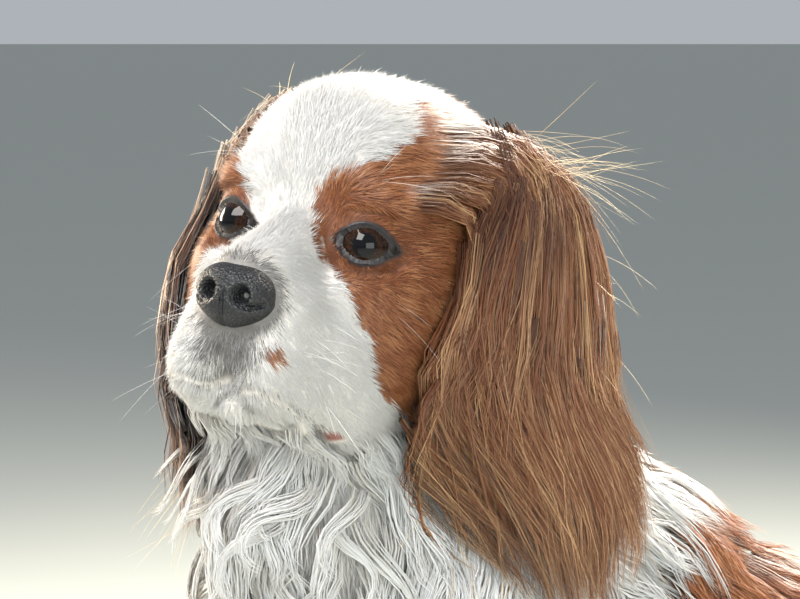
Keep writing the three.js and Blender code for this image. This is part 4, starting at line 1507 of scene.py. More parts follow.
@dataclass
class Locks:
    """Clumps of long hair, each a path with many hairs round it.

    Attributes:
        paths: Centre path of each clump, root first.
        normals: Outward directions along each path.
        radius: Half width of each clump at its root.
    """

    paths: Array
    normals: Array
    radius: Array

    def hairs(self, strands: Strands, rng: np.random.Generator) -> Hairs:
        """Draws the hairs of every clump."""
        clumps, steps = self.paths.shape[:2]
        each, rings = scaled(strands.each), strands.rings
        tangent = unit(np.gradient(self.paths, axis=1))
        side = unit(np.cross(self.normals, tangent))
        up = np.cross(tangent, side)
        length = np.linalg.norm(np.diff(self.paths, axis=1), axis=2).sum(1)
        a = rng.uniform(-1, 1, (clumps, each))
        b = rng.uniform(-1, 1, (clumps, each)) * np.sqrt(np.maximum(1 - a * a, 0))
        reach = rng.uniform(0.72, 1.0, (clumps, each))
        t = np.linspace(0, 1, rings)[None, None, :] * reach[:, :, None]
        spot = t * (steps - 1)
        low = np.minimum(spot.astype(int), steps - 2)
        share = (spot - low)[..., None]
        index = np.arange(clumps)[:, None, None]

        def along(values: Array) -> Array:
            """Values at each hair's rings."""
            return values[index, low] * (1 - share) + values[index, low + 1] * share

        centre, s, u, n = along(self.paths), along(side), along(up), along(self.normals)
        close = 1 - strands.gather * t**1.3
        spread = self.radius[:, None, None] * close
        phase = rng.uniform(0, 2 * math.pi, (clumps, each))[:, :, None]
        far = strands.stray * length[:, None, None]
        drift = rng.normal(size=(clumps, each))[:, :, None] * far * t**1.7
        lift = np.abs(rng.normal(size=(clumps, each)))[:, :, None] * 0.4 * far * t**1.5
        ripple = 0.10 * self.radius[:, None, None] * np.sin(9 * t + phase)
        centre = centre + s * (a[:, :, None] * spread + drift + ripple)[..., None]
        centre = centre + u * (b[:, :, None] * spread * strands.depth + lift)[..., None]
        n = unit(n) + s * (strands.rounding * a)[:, :, None, None]
        total, width = clumps * each, strands.width
        mean, sigma = strands.tone
        clump_tone = rng.normal(size=(clumps, 1)) * sigma * 0.7
        tones = (mean + clump_tone + sigma * rng.normal(size=(clumps, each))).clip(0, 1)
        return Hairs(
            centre.reshape(total, rings, 3),
            (width * (1 + 0.25 * rng.normal(size=total))).clip(0.4 * width, 1.8 * width),
            unit(n).reshape(total, rings, 3),
            tones.ravel(),
            np.zeros(total),
        )


def joined_hairs(layers: Sequence[Hairs]) -> Hairs:
    """Hairs of several layers, each with as many rings, in one."""
    keys = ("paths", "widths", "normals", "tone", "soot")
    return Hairs(*(np.concatenate([getattr(layer, key) for layer in layers]) for key in keys))


@dataclass(frozen=True)
class Sided:
    """Something on one side of the head.

    Attributes:
        anatomy: The flesh it meets.
        part: The part's frame.
        side: 1 for the dog's left and -1 for its right.
    """

    anatomy: Anatomy
    part: Part
    side: int

    @property
    def label(self) -> str:
        """Name of the side."""
        return side_name(self.side)


@dataclass(frozen=True)
class EarLayer:
    """One layer of an ear's hair.

    Attributes:
        height: 0 for the hair next to the leather and 1 for the outermost.
        count: Number of clumps.
        each: Hairs in a clump.
        width: Middle width of a hair.
    """

    height: float
    count: int
    each: int
    width: float

    def strands(self) -> Strands:
        """Its hairs, which are lighter the further out they lie."""
        tone = (0.24 + 0.1 * self.height, 0.27)
        return Strands(self.each, self.width, 7, 0.85, 0.6, 0.025, tone, 1.0)


EAR_LAYERS = {
    1: (EarLayer(0.0, 44, 16, 1.3), EarLayer(0.5, 60, 34, 0.65), EarLayer(1.0, 78, 48, 0.52)),
    -1: (EarLayer(0.0, 40, 14, 1.5), EarLayer(0.5, 46, 20, 0.95), EarLayer(1.0, 58, 24, 0.85)),
}
EAR_SEEDS = {1: 101, -1: 202}
CREST_CLUMPS = {1: 110, -1: 60}
CREST = Strands(16, 0.52, 6, 0.7, 0.5, 0.03, (0.34, 0.24), 0.8)


@dataclass(frozen=True)
class Ear(Sided):
    """A long feathered ear: its leather and its hair.

    Attributes:
        root: Middle of the left ear's root in the head's frame.
        hair_length: Root to the tips of the hair.
        leather_share: Share of that length that the leather reaches.
        leather_thick: Thickness of the leather.
    """

    root: Point = (45, 12, 55)
    hair_length: float = 184
    leather_share: float = 0.53
    leather_thick: float = 4.0

    def sheet(self, u: Array, v: Array, out: Array | float = 0.0) -> Array:
        """Places on the hanging sheet of the ear, in the head's frame.

        Args:
            u: From the front edge, -1, to the rear, 1.
            v: From the root to the tips of the hair, 0 to 1.
            out: Distance outwards.

        Returns:
            The places.
        """
        narrow = 1 - 0.6 * np.maximum(0, (v - 0.55) / 0.45) ** 1.3
        half = (24 + 34 * np.sin(np.minimum(v / 0.6, 1) * math.pi / 2)) * narrow
        opened = np.minimum(1, v / 0.3)
        x = self.root[0] - 4 + 21 * (1 - np.exp(-v / 0.07)) + 5 * v + (12 * u - 9 * u * u) * opened
        y = self.root[1] + 24 * v + half * u
        hang = self.hair_length * v * (1 - 0.17 * np.maximum(0, u) ** 1.5)
        z = self.root[2] - hang - 8 * u * u * (1 - v)
        return np.stack([self.side * (x + out), y, z], axis=-1)

    def draped(self, q: Array, clear: Array | float) -> Array:
        """Moves places of the head's frame out until they clear the flesh, into the dog's frame."""
        shape = q.shape
        p = self.anatomy.from_head(q.reshape(-1, 3))
        need = np.broadcast_to(np.asarray(clear, float), shape[:-1]).reshape(-1)
        outward = unit(np.array([self.side, -0.15, 0.0])) @ self.anatomy.head_turn.T
        for _ in range(5):
            d = self.anatomy.dog(p)
            low = d < need
            if not low.any():
                break
            p[low] += outward * ((need[low] - d[low]) * 1.25)[:, None]
        return p.reshape(shape)

    def leather(self, material: bpy.types.Material) -> None:
        """Makes the flap of skin that the ear's hair grows from."""
        made = bmesh.new()
        bmesh.ops.create_uvsphere(made, u_segments=36, v_segments=22, radius=1.0)
        co = places_of(made)
        ring = np.hypot(co[:, 0], co[:, 1])
        v = 0.02 + (self.leather_share - 0.02) * (1 - co[:, 2]) / 2
        across = np.where(ring > 1e-5, co[:, 1] / np.maximum(ring, 1e-5), 0)
        u = across * np.minimum(1, ring * 1.25) * 0.72
        out = co[:, 0] * self.leather_thick / 2
        clear = np.where(v < 0.08, -3.0, 1 + (co[:, 0] + 1) * self.leather_thick / 2)
        name = f"ear_leather_{self.label}"
        mesh = self.part.from_bmesh(name, made, self.draped(self.sheet(u, v, out), clear))
        set_colours(mesh, np.tile([1.0, 0.0, 0.0], (len(mesh.vertices), 1)))
        self.part.add(name, mesh, material, Slot.CHESTNUT, [f"ear_{self.label}"])

    def outward(self, u: Array) -> Array:
        """Direction out of the sheet at a place across it, in the dog's frame."""
        return unit(arrow(self.side + 0 * u, -0.1 - 0.5 * u, 0 * u)) @ self.anatomy.head_turn.T

    def clumps(self, plan: EarLayer, rng: np.random.Generator) -> Locks:
        """Clumps of one layer of the ear's hair."""
        steps, count, layer = 16, plan.count, plan.height
        u0 = rng.permutation(np.linspace(-1, 1, count)) + rng.uniform(-1, 1, count) / count
        high = rng.random(count) < 0.5
        root = rng.uniform(-0.01, 0.1, count)
        start = np.where(high, root, rng.uniform(0.05, self.leather_share, count))
        start = start + 0.15 * step(-0.35, -1.0, u0)
        reach = 1.02 - 0.1 * u0 * u0 - 0.13 * np.maximum(0, u0) ** 1.5
        reach = reach + rng.uniform(-0.07, 0.04, count) - 0.12 * layer * rng.random(count)
        t = np.linspace(0, 1, steps)[None, :]
        v = start[:, None] + np.maximum(reach - start, 0.25)[:, None] * t
        front = step(0.25, -0.75, u0)[:, None]
        wave = rng.uniform(0.5, 1.0, count)[:, None] * (0.35 + 1.0 * front)
        spot = np.stack([u0 * 60, start * 60, 0 * u0], 1)
        phase = (2.6 * wobble(spot, 70, 5) + rng.normal(size=count) * 0.45)[:, None]
        turns = rng.uniform(3.0, 4.2, count)[:, None]
        along = 2 * math.pi * turns * v**1.15 + phase
        strength = wave * step(0.16, 0.62, v)
        flare = 0.07 * step(0, 1, u0) + (0.0 if self.side > 0 else 0.22) * step(0, -1, u0)
        u = u0[:, None] * (0.84 + 0.16 * step(0.1, 0.6, v) + flare[:, None] * step(0.1, 0.5, v))
        u = u + 0.125 * strength * np.sin(along)
        bulge = (1.0 + 5.5 * layer) * step(-0.02, 0.14, v) * (1 - 0.35 * step(0.6, 1.0, v))
        bulge = bulge + rng.uniform(-1.6, 2.8, count)[:, None] * step(0.0, 0.3, v)
        bulge = bulge + 4.0 * strength * np.cos(along)
        q = self.sheet(u, v, bulge)
        clear = 2.0 + 3.5 * layer + (5.0 + 3.0 * layer) * step(0.45, 0.8, v)
        clear[:, 0] = -2.0
        return Locks(self.draped(q, clear), self.outward(u), rng.uniform(2.6, 5.2, count))

    def crest(self, rng: np.random.Generator) -> Locks:
        """Clumps that sweep back off the skull and over the ear's root."""
        steps, count = 13, CREST_CLUMPS[self.side]
        u = rng.uniform(-1.0, 0.75, count)
        back = rng.uniform(12, 34, count)
        first = 0.03 + 0.15 * np.maximum(0, -u) ** 1.6
        over = self.sheet(u * 0.9, first, 0.0)
        drop = -0.12 * back + rng.uniform(-4, 4, count)
        begin = self.anatomy.from_head(over + arrow(-self.side * 0.5 * back, -back, drop))
        begin = self.anatomy.to_head(self.anatomy.settle(begin, -1.5)[0])
        ridge = over + arrow(self.side * 2.0, -1.0, rng.uniform(0.5, 4.0, count))
        end = first + rng.uniform(0.22, 0.55, count)
        fall = rng.normal(size=count) * 0.05
        stations = [begin, 0.5 * (begin + ridge) + arrow(self.side * 1.5, 0.0, 1.5 + 0 * u), ridge]
        for share in (0.2, 0.45, 0.72, 1.0):
            across = u * (0.9 + 0.06 * share) + 0.08 + fall * share
            out = 7.5 + rng.uniform(-1, 1.5, count)
            stations.append(self.sheet(across, first + (end - first) * share, out))
        knots = np.stack(stations, axis=1)
        spot = np.linspace(0, len(stations) - 1, steps)
        low = np.minimum(spot.astype(int), len(stations) - 2)
        share = (spot - low)[None, :, None]
        q = knots[:, low] * (1 - share) + knots[:, low + 1] * share
        for _ in range(3):
            q[:, 1:-1] = 0.25 * q[:, :-2] + 0.5 * q[:, 1:-1] + 0.25 * q[:, 2:]
        clear = np.full((count, steps), 1.6)
        clear[:, 0] = -1.5
        paths = self.draped(q, clear)
        near = 5  # stations that lie over the skull
        skin_way = self.anatomy.settle(paths[:, :near].reshape(-1, 3), 1.0, 0)[1]
        out = np.repeat(self.outward(u)[:, None], steps - near, axis=1)
        normals = np.concatenate([skin_way.reshape(count, near, 3), out], axis=1)
        return Locks(paths, unit(normals), rng.uniform(2.2, 4.0, count))

    def hair(self, coat: Coat) -> None:
        """Makes the ear's long wavy hair and the crest over its root."""
        rng = np.random.default_rng(EAR_SEEDS[self.side])
        layers = [self.clumps(plan, rng).hairs(plan.strands(), rng) for plan in EAR_LAYERS[self.side]]
        coat.grow(f"ear_hair_{self.label}", joined_hairs(layers), coat.ear, Slot.CHESTNUT)
        hairs = self.crest(rng).hairs(CREST, rng)
        brown = coat.skin.markings.chestnut(hairs.paths[:, 4]) > 0.1
        coat.grow_both(f"crest_{self.label}", hairs, brown, coat.ear)


RUFF_TONE, BACK_TONE = (0.6, 0.2), (0.5, 0.22)
RUFF_LOW = Strands(12, 1.25, 5, 0.7, 0.5, 0.04, RUFF_TONE, 0.6)
RUFF_HIGH = Strands(23, 0.84, 6, 0.7, 0.5, 0.04, RUFF_TONE, 0.6)
FRILL = Strands(18, 0.65, 9, 0.85, 0.5, 0.02, (0.65, 0.2), 0.6)
CHIN = Strands(17, 0.56, 5, 0.75, 0.5, 0.04, RUFF_TONE, 0.5)
BACK_LOW = Strands(12, 1.3, 4, 0.65, 0.4, 0.04, BACK_TONE, 0.6)
BACK_HIGH = Strands(18, 0.78, 5, 0.65, 0.4, 0.04, BACK_TONE, 0.6)
FEATHER = Strands(18, 1.0, 6, 0.7, 0.6, 0.04, (0.55, 0.2), 0.6)


@dataclass(frozen=True)
class LongCoat:
    """The ruff, chest, mane and feathers: long hair traced down over the flesh.

    Attributes:
        anatomy: The flesh.
        comb: Which way it lies.
        coat: What makes its pieces.
    """

    anatomy: Anatomy
    comb: Comb
    coat: Coat

    def traced(
        self,
        roots: Array,
        length: Array,
        lift: Array,
        curl: Array,
        fall: float,
        rng: np.random.Generator,
        lie: Array | None = None,
    ) -> Locks:
        """Clumps that start at the skin and are combed down over the flesh.

        Args:
            roots: Where they start.
            length: Length of each.
            lift: Height of each tip over the flesh.
            curl: How far each swings from side to side.
            fall: Pull downwards.
            rng: The draw.
            lie: Way they are combed, the coat's own unless given.

        Returns:
            The clumps.
        """
        steps = 12
        count = len(roots)
        p, n = self.anatomy.settle(roots, -2.0)
        phase = 2.5 * wobble(roots, 60, 12) + 0.8 * rng.normal(size=count)
        turns = rng.uniform(6.0, 9.5, count)
        bias = 0.25 * wobble(roots, 45, 8) + 0.12 * rng.normal(size=count)
        places, outs = [p], [n]
        for i in range(1, steps):
            t = i / (steps - 1)
            way = self.comb.lie(p, n) if lie is None else flattened(lie, n)
            way = way + np.array([0, 0, -fall * t])
            side = np.cross(n, way)
            sway = bias + curl * (0.3 + t) * np.cos(turns * t + phase)
            way = unit(flattened(way, n) + side * sway[:, None])
            p = p + way * (length / (steps - 1))[:, None]
            height = -2 + (lift + 2) * t**0.6 * (1 + 0.35 * curl * np.sin(turns * t + phase))
            d, g = self.anatomy.slope(p)
            n = unit(g)
            p = p + n * (height - d)[:, None]
            p[:, 2] = np.maximum(p[:, 2], 1.5)
            places.append(p)
            outs.append(n)
        return Locks(np.stack(places, 1), np.stack(outs, 1), np.full(count, 3.0))

    def off_mouth(self, locks: Locks) -> Locks:
        """Only the clumps that leave the corners of the mouth bare."""
        places = self.anatomy.to_head(locks.paths.reshape(-1, 3))
        away = self.anatomy.off_corner(places).reshape(locks.paths.shape[:2])
        keep = away.min(1) > 1.5
        return Locks(locks.paths[keep], locks.normals[keep], locks.radius[keep])

    def roots(self, density: Callable[[Array], Array], most: int, seed: int) -> Array:
        """Places of clumps on the skin, no more than a number of them."""
        return self.coat.skin.scatter(density, seed)[0][:most]

    def split(self, name: str, hairs: Hairs) -> None:
        """Makes the white and the chestnut piece of an area."""
        brown = self.coat.skin.markings.chestnut(hairs.paths[:, 1]) > 0.5
        self.coat.grow_both(f"{name}_hair", hairs, brown)

    def ruff(self) -> None:
        """Makes the long wavy hair of the throat and chest."""
        rng = np.random.default_rng(301)

        def front(p: Array) -> Array:
            """1 over the throat and chest."""
            body = self.anatomy.headness(p) < 0.5
            return body * step(60, 10, p[:, 1]) * step(120, 150, p[:, 2])

        plan = (
            ("ruff_low", lambda p: front(p) * 0.0045 * step(245, 225, p[:, 2]), 190, RUFF_LOW),
            ("ruff_high", lambda p: front(p) * 0.0125 * step(222, 240, p[:, 2]), 310, RUFF_HIGH),
        )
        for name, density, most, strands in plan:
            roots = self.roots(density, most, 302)
            count = len(roots)
            down = step(300, 180, roots[:, 2])
            length = rng.uniform(46, 76, count) * (0.85 + 0.3 * down)
            aside = np.abs(self.anatomy.to_head(roots)[:, 0])
            under_ear = step(26, 48, aside) * step(190, 230, roots[:, 2])
            lift = rng.uniform(5, 14, count) * (1 - 0.7 * under_ear)
            curl = rng.uniform(0.3, 0.95, count) * (1 - 0.5 * under_ear)
            locks = self.traced(roots, length, lift, curl, 0.35, rng)
            locks.radius = rng.uniform(3.6, 6.4, count)
            hairs = self.off_mouth(locks).hairs(strands, rng)
            hairs.soft = 0.8
            self.coat.grow(f"{name}_hair", hairs)

    def frill(self) -> None:
        """Makes the loose curls that stand off the chest and throat."""
        rng = np.random.default_rng(331)
        count, steps = 46, 14
        angle = np.radians(rng.uniform(-75, 50, count))
        z = rng.uniform(236, 312, count)
        roots = arrow(-2 + 58 * np.sin(angle), -55 - 60 * np.cos(angle), z)
        p, n = self.anatomy.settle(roots, 2.0, 5)
        length = rng.uniform(38, 66, count)
        swing = rng.uniform(0.5, 1.0, count)
        sense = np.where(rng.random(count) < 0.5, 1.0, -1.0)
        places, outs = [p], [n]
        down = flattened(np.broadcast_to([0.0, 0.0, -1.0], n.shape), n)
        across = np.cross(n, down)
        for i in range(1, steps):
            t = i / (steps - 1)
            rise = 0.75 * (1 - t) - 0.25 + 1.5 * swing * max(0.0, t - 0.45)
            turn = sense * swing * 1.5 * np.sin(4.4 * t)
            aside = down * np.cos(turn)[:, None] + across * np.sin(turn)[:, None]
            way = unit(aside + n * rise[:, None])
            p = p + way * (length / (steps - 1))[:, None]
            places.append(p)
            outs.append(unit(n + 0.4 * way))
        locks = Locks(np.stack(places, 1), np.stack(outs, 1), rng.uniform(2.6, 4.6, count))
        self.coat.grow("frill_hair", locks.hairs(FRILL, rng))

    def chin(self) -> None:
        """Makes the longer hair under the jaw."""
        rng = np.random.default_rng(351)
        head = self.anatomy

        def under(p: Array) -> Array:
            """Clumps for each square millimetre under the jaw."""
            q = head.to_head(p)
            throat = step(-74, -66, q[:, 1]) * step(0, -14, q[:, 1])
            return (head.headness(p) > 0.5) * step(-62, -70, q[:, 2]) * throat * 0.03

        roots = self.roots(under, 90, 352)
        count = len(roots)
        curl = rng.uniform(0.1, 0.5, count)
        length, lift = rng.uniform(18, 34, count), rng.uniform(3, 7, count)
        locks = self.traced(roots, length, lift, curl, 0.8, rng)
        locks.radius = rng.uniform(2.4, 4.0, count)
        self.coat.grow("chin_hair", self.off_mouth(locks).hairs(CHIN, rng))

    def mane(self) -> None:
        """Makes the longer hair of the neck, shoulders and back."""
        rng = np.random.default_rng(401)

        def behind(p: Array) -> Array:
            """1 over the neck, shoulders and back."""
            body = self.anatomy.headness(p) < 0.5
            return body * step(10, 50, p[:, 1]) * step(40, 90, p[:, 2])

        plan = (
            ("back_low", lambda p: behind(p) * 0.0055 * step(200, 180, p[:, 2]), 400, BACK_LOW),
            ("back_high", lambda p: behind(p) * 0.011 * step(180, 200, p[:, 2]), 240, BACK_HIGH),
        )
        for name, density, most, strands in plan:
            roots = self.roots(density, most, 402)
            count = len(roots)
            length, lift = rng.uniform(34, 56, count), rng.uniform(2, 7, count)
            locks = self.traced(roots, length, lift, rng.uniform(0.15, 0.5, count), 0.2, rng)
            locks.radius = rng.uniform(3.2, 5.8, count)
            self.split(name, locks.hairs(strands, rng))

    def feathers(self) -> None:
        """Makes the feathers of the legs and the plume of the tail."""
        rng = np.random.default_rng(501)
        for row in FEATHERS:
            for side in (1, -1) if row.pair else (1,):
                mirror, start = np.array([side, 1, 1]), np.array(row.start)
                share = rng.random(row.count)
                roots = start + share[:, None] * (np.array(row.end) - start)
                roots = (roots + rng.normal(size=(row.count, 3)) * 3.5) * mirror
                lie = row.lie + 0.16 * rng.normal(size=(row.count, 3)) * np.array([1, 1, 0.4])
                lie = unit(lie) * mirror
                length = row.length * rng.uniform(0.65, 1.15, row.count)
                if row.free:
                    locks = self.spread(roots, lie, length, rng)
                else:
                    lift = row.lift * rng.uniform(0.5, 1.2, row.count)
                    curl = rng.uniform(0.1, 0.4, row.count)
                    locks = self.traced(roots, length, lift, curl, 0.3, rng, lie)
                locks.radius = rng.uniform(3.0, 5.5, row.count)
                label = f"_{side_name(side)}" if row.pair else ""
                self.split(row.name + label, locks.hairs(FEATHER, rng))

    def spread(self, roots: Array, lie: Array, length: Array, rng: np.random.Generator) -> Locks:
        """Clumps of the plume, which lie spread over the floor."""
        steps = 9
        count = len(roots)
        p, _ = self.anatomy.settle(roots, -3.0)
        bend = 0.5 * wobble(roots, 50, 21) + 0.15 * rng.normal(size=count)
        rest = rng.uniform(2.2, 9.0, count)
        out = np.broadcast_to([0.0, 0.0, 1.0], p.shape)
        places = [p]
        for i in range(1, steps):
            t = i / (steps - 1)
            side = np.cross(out, lie)
            way = unit(lie + arrow(0, 0, -0.35 * t) + side * (bend * np.cos(3.4 * t))[:, None])
            p = p + way * (length / (steps - 1))[:, None]
            p = arrow(p[:, 0], p[:, 1], np.maximum(p[:, 2], rest))
            places.append(p)
        return Locks(np.stack(places, 1), np.repeat(out[:, None], steps, axis=1), np.full(count, 3.0))


@dataclass(frozen=True)
class Whiskers:
    """A tuft of whiskers or brow hairs, and its mirror image.

    Attributes:
        at: Middle of their roots in the head's frame.
        way: Middle of their directions there.
        count: Hairs on one side.
        spread: How far apart the roots are.
        length: Middle length.
    """

    at: Point
    way: Point
    count: int
    spread: float
    length: float


WHISKERS = (
    Whiskers((21, -72, -40), (0.85, -0.2, -0.2), 8, 9.0, 25),
    Whiskers((24, -62, -54), (0.8, 0.0, -0.6), 4, 8.0, 26),
    Whiskers((27, -48, 24), (0.85, -0.4, 0.3), 4, 3.0, 27),
    Whiskers((38, -40, -22), (0.8, 0.2, -0.55), 2, 3.0, 20),
    Whiskers((7, -80, -66), (0.3, -0.6, -0.75), 3, 4.0, 12),
)


@dataclass(frozen=True)
class Flyaways:
    """Loose hairs from one stretch of an ear.

    Attributes:
        count: Number of hairs.
        across: Stretch of the ear's sheet from front to rear.
        down: Stretch of it from root to tip.
        way: Middle of their directions in the head's frame.
        length: Shortest and longest.
        droop: How far each tip sinks, as a share of the length.
    """

    count: int
    across: tuple[float, float]
    down: tuple[float, float]
    way: Point
    length: tuple[float, float]
    droop: float


FLYAWAYS = (
    Flyaways(64, (-0.1, 0.9), (0.0, 0.10), (0.15, 1.0, 0.12), (24, 56), 0.3),
    Flyaways(16, (0.6, 1.0), (0.10, 0.5), (0.35, 0.9, -0.15), (14, 30), 0.4),
    Flyaways(34, (0.0, 1.0), (0.70, 0.86), (0.35, 0.8, -0.55), (22, 46), 0.3),
    Flyaways(18, (-0.9, -0.2), (0.75, 0.95), (0.3, -0.5, -0.9), (20, 38), 0.2),
)
FLYAWAY_SEEDS = {1: 641, -1: 642}


@dataclass(frozen=True)
class Wisps:
    """Single hairs that stand off the coat: whiskers, brow hairs and flyaways.

    Attributes:
        anatomy: The flesh.
        coat: What makes its pieces.
        rings: Rings along each hair.
    """

    anatomy: Anatomy
    coat: Coat
    rings: int = 9

    def arcs(
        self, starts: Array, ways: Array, length: Array, droop: Array, width: float, rng: np.random.Generator
    ) -> Hairs:
        """Thin arcs.

        Args:
            starts: Roots in the dog's frame.
            ways: Directions at the roots.
            length: Length of each.
            droop: How far each tip sinks under a straight line.
            width: Width at the root.
            rng: The draw.

        Returns:
            The hairs.
        """
        count = len(starts)
        t = np.linspace(0, 1, self.rings)[None, :, None]
        side = unit(np.cross(ways, [0.0, 0.0, 1.0]) + 1e-6)
        bend = rng.normal(size=count)[:, None, None] * 0.08
        paths = starts[:, None] + ways[:, None] * length[:, None, None] * t
        paths = paths + side[:, None] * bend * length[:, None, None] * t * t
        paths = paths - np.array([0, 0, 1.0]) * droop[:, None, None] * t * t
        outward = np.repeat(unit(np.cross(side, ways))[:, None], self.rings, axis=1)
        tone = rng.uniform(0.5, 1.0, count)
        return Hairs(paths, np.full(count, width), outward, tone, np.zeros(count), flat=0.8, soft=0.3)

    def vibrissae(self) -> None:
        """Makes the whiskers of the muzzle and the long hairs of the brows."""
        rng = np.random.default_rng(601)
        made = []
        for row in WHISKERS:
            for side in (1, -1):
                mirror = np.array([side, 1, 1])
                shape = (row.count, 3)
                q = row.at + rng.normal(size=shape) * row.spread * np.array([0.2, 0.6, 0.5])
                roots, _ = self.anatomy.settle(self.anatomy.from_head(q * mirror), -1.0, 6)
                ways = unit(row.way + 0.22 * rng.normal(size=shape)) * mirror
                size = row.length * rng.uniform(0.6, 1.15, row.count)
                droop = 0.22 * size * rng.uniform(0.3, 1.0, row.count)
                ways = unit(ways) @ self.anatomy.head_turn.T
                made.append(self.arcs(roots, ways, size, droop, 0.24, rng))
        self.coat.grow("whiskers", joined_hairs(made))

    def flyaways(self, ear: Ear) -> None:
        """Makes the loose fair hairs that stand off an ear and the shoulder under it."""
        rng = np.random.default_rng(FLYAWAY_SEEDS[ear.side])
        made = []
        for row in FLYAWAYS:
            u, v = rng.uniform(*row.across, row.count), rng.uniform(*row.down, row.count)
            starts = ear.draped(ear.sheet(u, v, 5.0), 3.0)
            ways = unit(row.way + rng.normal(size=(row.count, 3)) * np.array([0.35, 0.2, 0.28]))
            ways = (ways * np.array([ear.side, 1, 1])) @ self.anatomy.head_turn.T
            size = rng.uniform(*row.length, row.count)
            droop = row.droop * size * rng.uniform(-0.2, 1.2, row.count)
            made.append(self.arcs(starts, ways, size, droop, 0.3, rng))
        self.coat.grow(f"flyaways_{ear.label}", joined_hairs(made), self.coat.blond, Slot.CHESTNUT)


@dataclass(frozen=True)
class Claws:
    """The claws of all four paws."""

    part: Part

    def build(self) -> None:
        """Makes each paw's claws as one piece."""
        for label, (x, y) in zip(("forepaw", "hind_paw"), TOE_ROWS):
            for side in (1, -1):
                made = bmesh.new()
                for across, back in zip(TOE_ACROSS, TOE_BACK):
                    cone = bmesh.ops.create_cone(
                        made, cap_ends=True, segments=14, radius1=1.9, radius2=0.4, depth=8.0
                    )["verts"]
                    for vert in cone:
                        vert.co.y -= 0.02 * (vert.co.z + 4.0) ** 2
                    turn = Matrix.Rotation(math.radians(112), 3, "X")
                    bmesh.ops.rotate(made, verts=cone, cent=(0, 0, 0), matrix=turn)
                    at = (side * (x + across), y + back - 11.5, 6.0)
                    bmesh.ops.translate(made, verts=cone, vec=at)
                name = f"claws_{label}_{side_name(side)}"
                mesh = self.part.from_bmesh(name, made, places_of(made))
                self.part.add(name, mesh, HORN.make(), Slot.NOSE)


# Small parts of the head


@dataclass(frozen=True)
class Eye(Sided):
    """An eyeball and its lids."""

    @property
    def turn(self) -> Array:
        """Rotation of the eye's frame, which looks along -Y."""
        return self.anatomy.eye_frame(self.side)[1]

    @property
    def centre(self) -> Array:
        """Centre of the eyeball in the dog's frame."""
        return self.anatomy.eye_frame(self.side)[0]

    def ball(self) -> None:
        """Makes the eyeball with its cornea."""
        r = self.anatomy.eye_radius
        made = bmesh.new()
        bmesh.ops.create_uvsphere(made, u_segments=64, v_segments=48, radius=1.0)
        d = places_of(made)
        b = -CORNEA_AHEAD * r
        along = d[:, 1] * b
        reach = along + np.sqrt(np.maximum(along * along - b * b + (CORNEA_RADIUS * r) ** 2, 0))
        bulge = np.maximum(0.0, reach - r)
        placed = (d * (r + bulge * 0.9)[:, None]) @ self.turn.T + self.centre
        mesh = self.part.from_bmesh(f"eyeball_{self.label}", made, placed)
        at = tuple(self.part.metres(self.centre))
        gaze = tuple(self.turn @ np.array([0, -1.0, 0]))
        finish = EyeFinish(f"eye_{self.label}", at, gaze)
        self.part.add(f"eyeball_{self.label}", mesh, finish.make(), Slot.EYE, [f"eye_{self.label}"])

    def rim(self) -> None:
        """Makes the moist dark edge of the lids as a closed cord round the eye's opening."""
        anatomy = self.anatomy
        made = bmesh.new()
        circle = bmesh.ops.create_circle(made, segments=12, radius=0.3)["verts"]
        upright = Matrix.Rotation(math.pi / 2, 3, "X")
        bmesh.ops.rotate(made, verts=circle, cent=(0, 0, 0), matrix=upright)
        bmesh.ops.translate(made, verts=circle, vec=(1, 0, 0))
        bmesh.ops.spin(
            made,
            geom=made.verts[:] + made.edges[:],
            cent=(0, 0, 0),
            axis=(0, 0, 1),
            angle=2 * math.pi,
            steps=96,
            use_merge=True,
            use_duplicate=False,
        )
        co = places_of(made)
        theta = np.arctan2(co[:, 1], co[:, 0])
        phi = np.arctan2(co[:, 2], np.hypot(co[:, 0], co[:, 1]) - 1)
        sine = np.sin(theta)
        high = np.where(sine > 0, anatomy.lid_top, anatomy.lid_bottom)
        across = anatomy.lid_half * np.cos(theta)
        flat = np.stack([across, high * sine * np.abs(sine) ** 0.85], axis=1)
        outward = flat / np.maximum(np.linalg.norm(flat, axis=1)[:, None], 1e-6)
        flat = flat + outward * (0.3 + 0.38 * np.cos(phi))[:, None]
        radius = anatomy.eye_radius + 0.6 + 0.6 * np.sin(phi)
        near = np.sqrt(np.maximum(radius**2 - (flat**2).sum(1), 4.0))
        placed = arrow(flat[:, 0], -near, flat[:, 1]) @ self.turn.T + self.centre
        mesh = self.part.from_bmesh(f"lid_rim_{self.label}", made, placed)
        self.part.add(f"lid_rim_{self.label}", mesh, DARK_LEATHER.make(), Slot.NOSE)


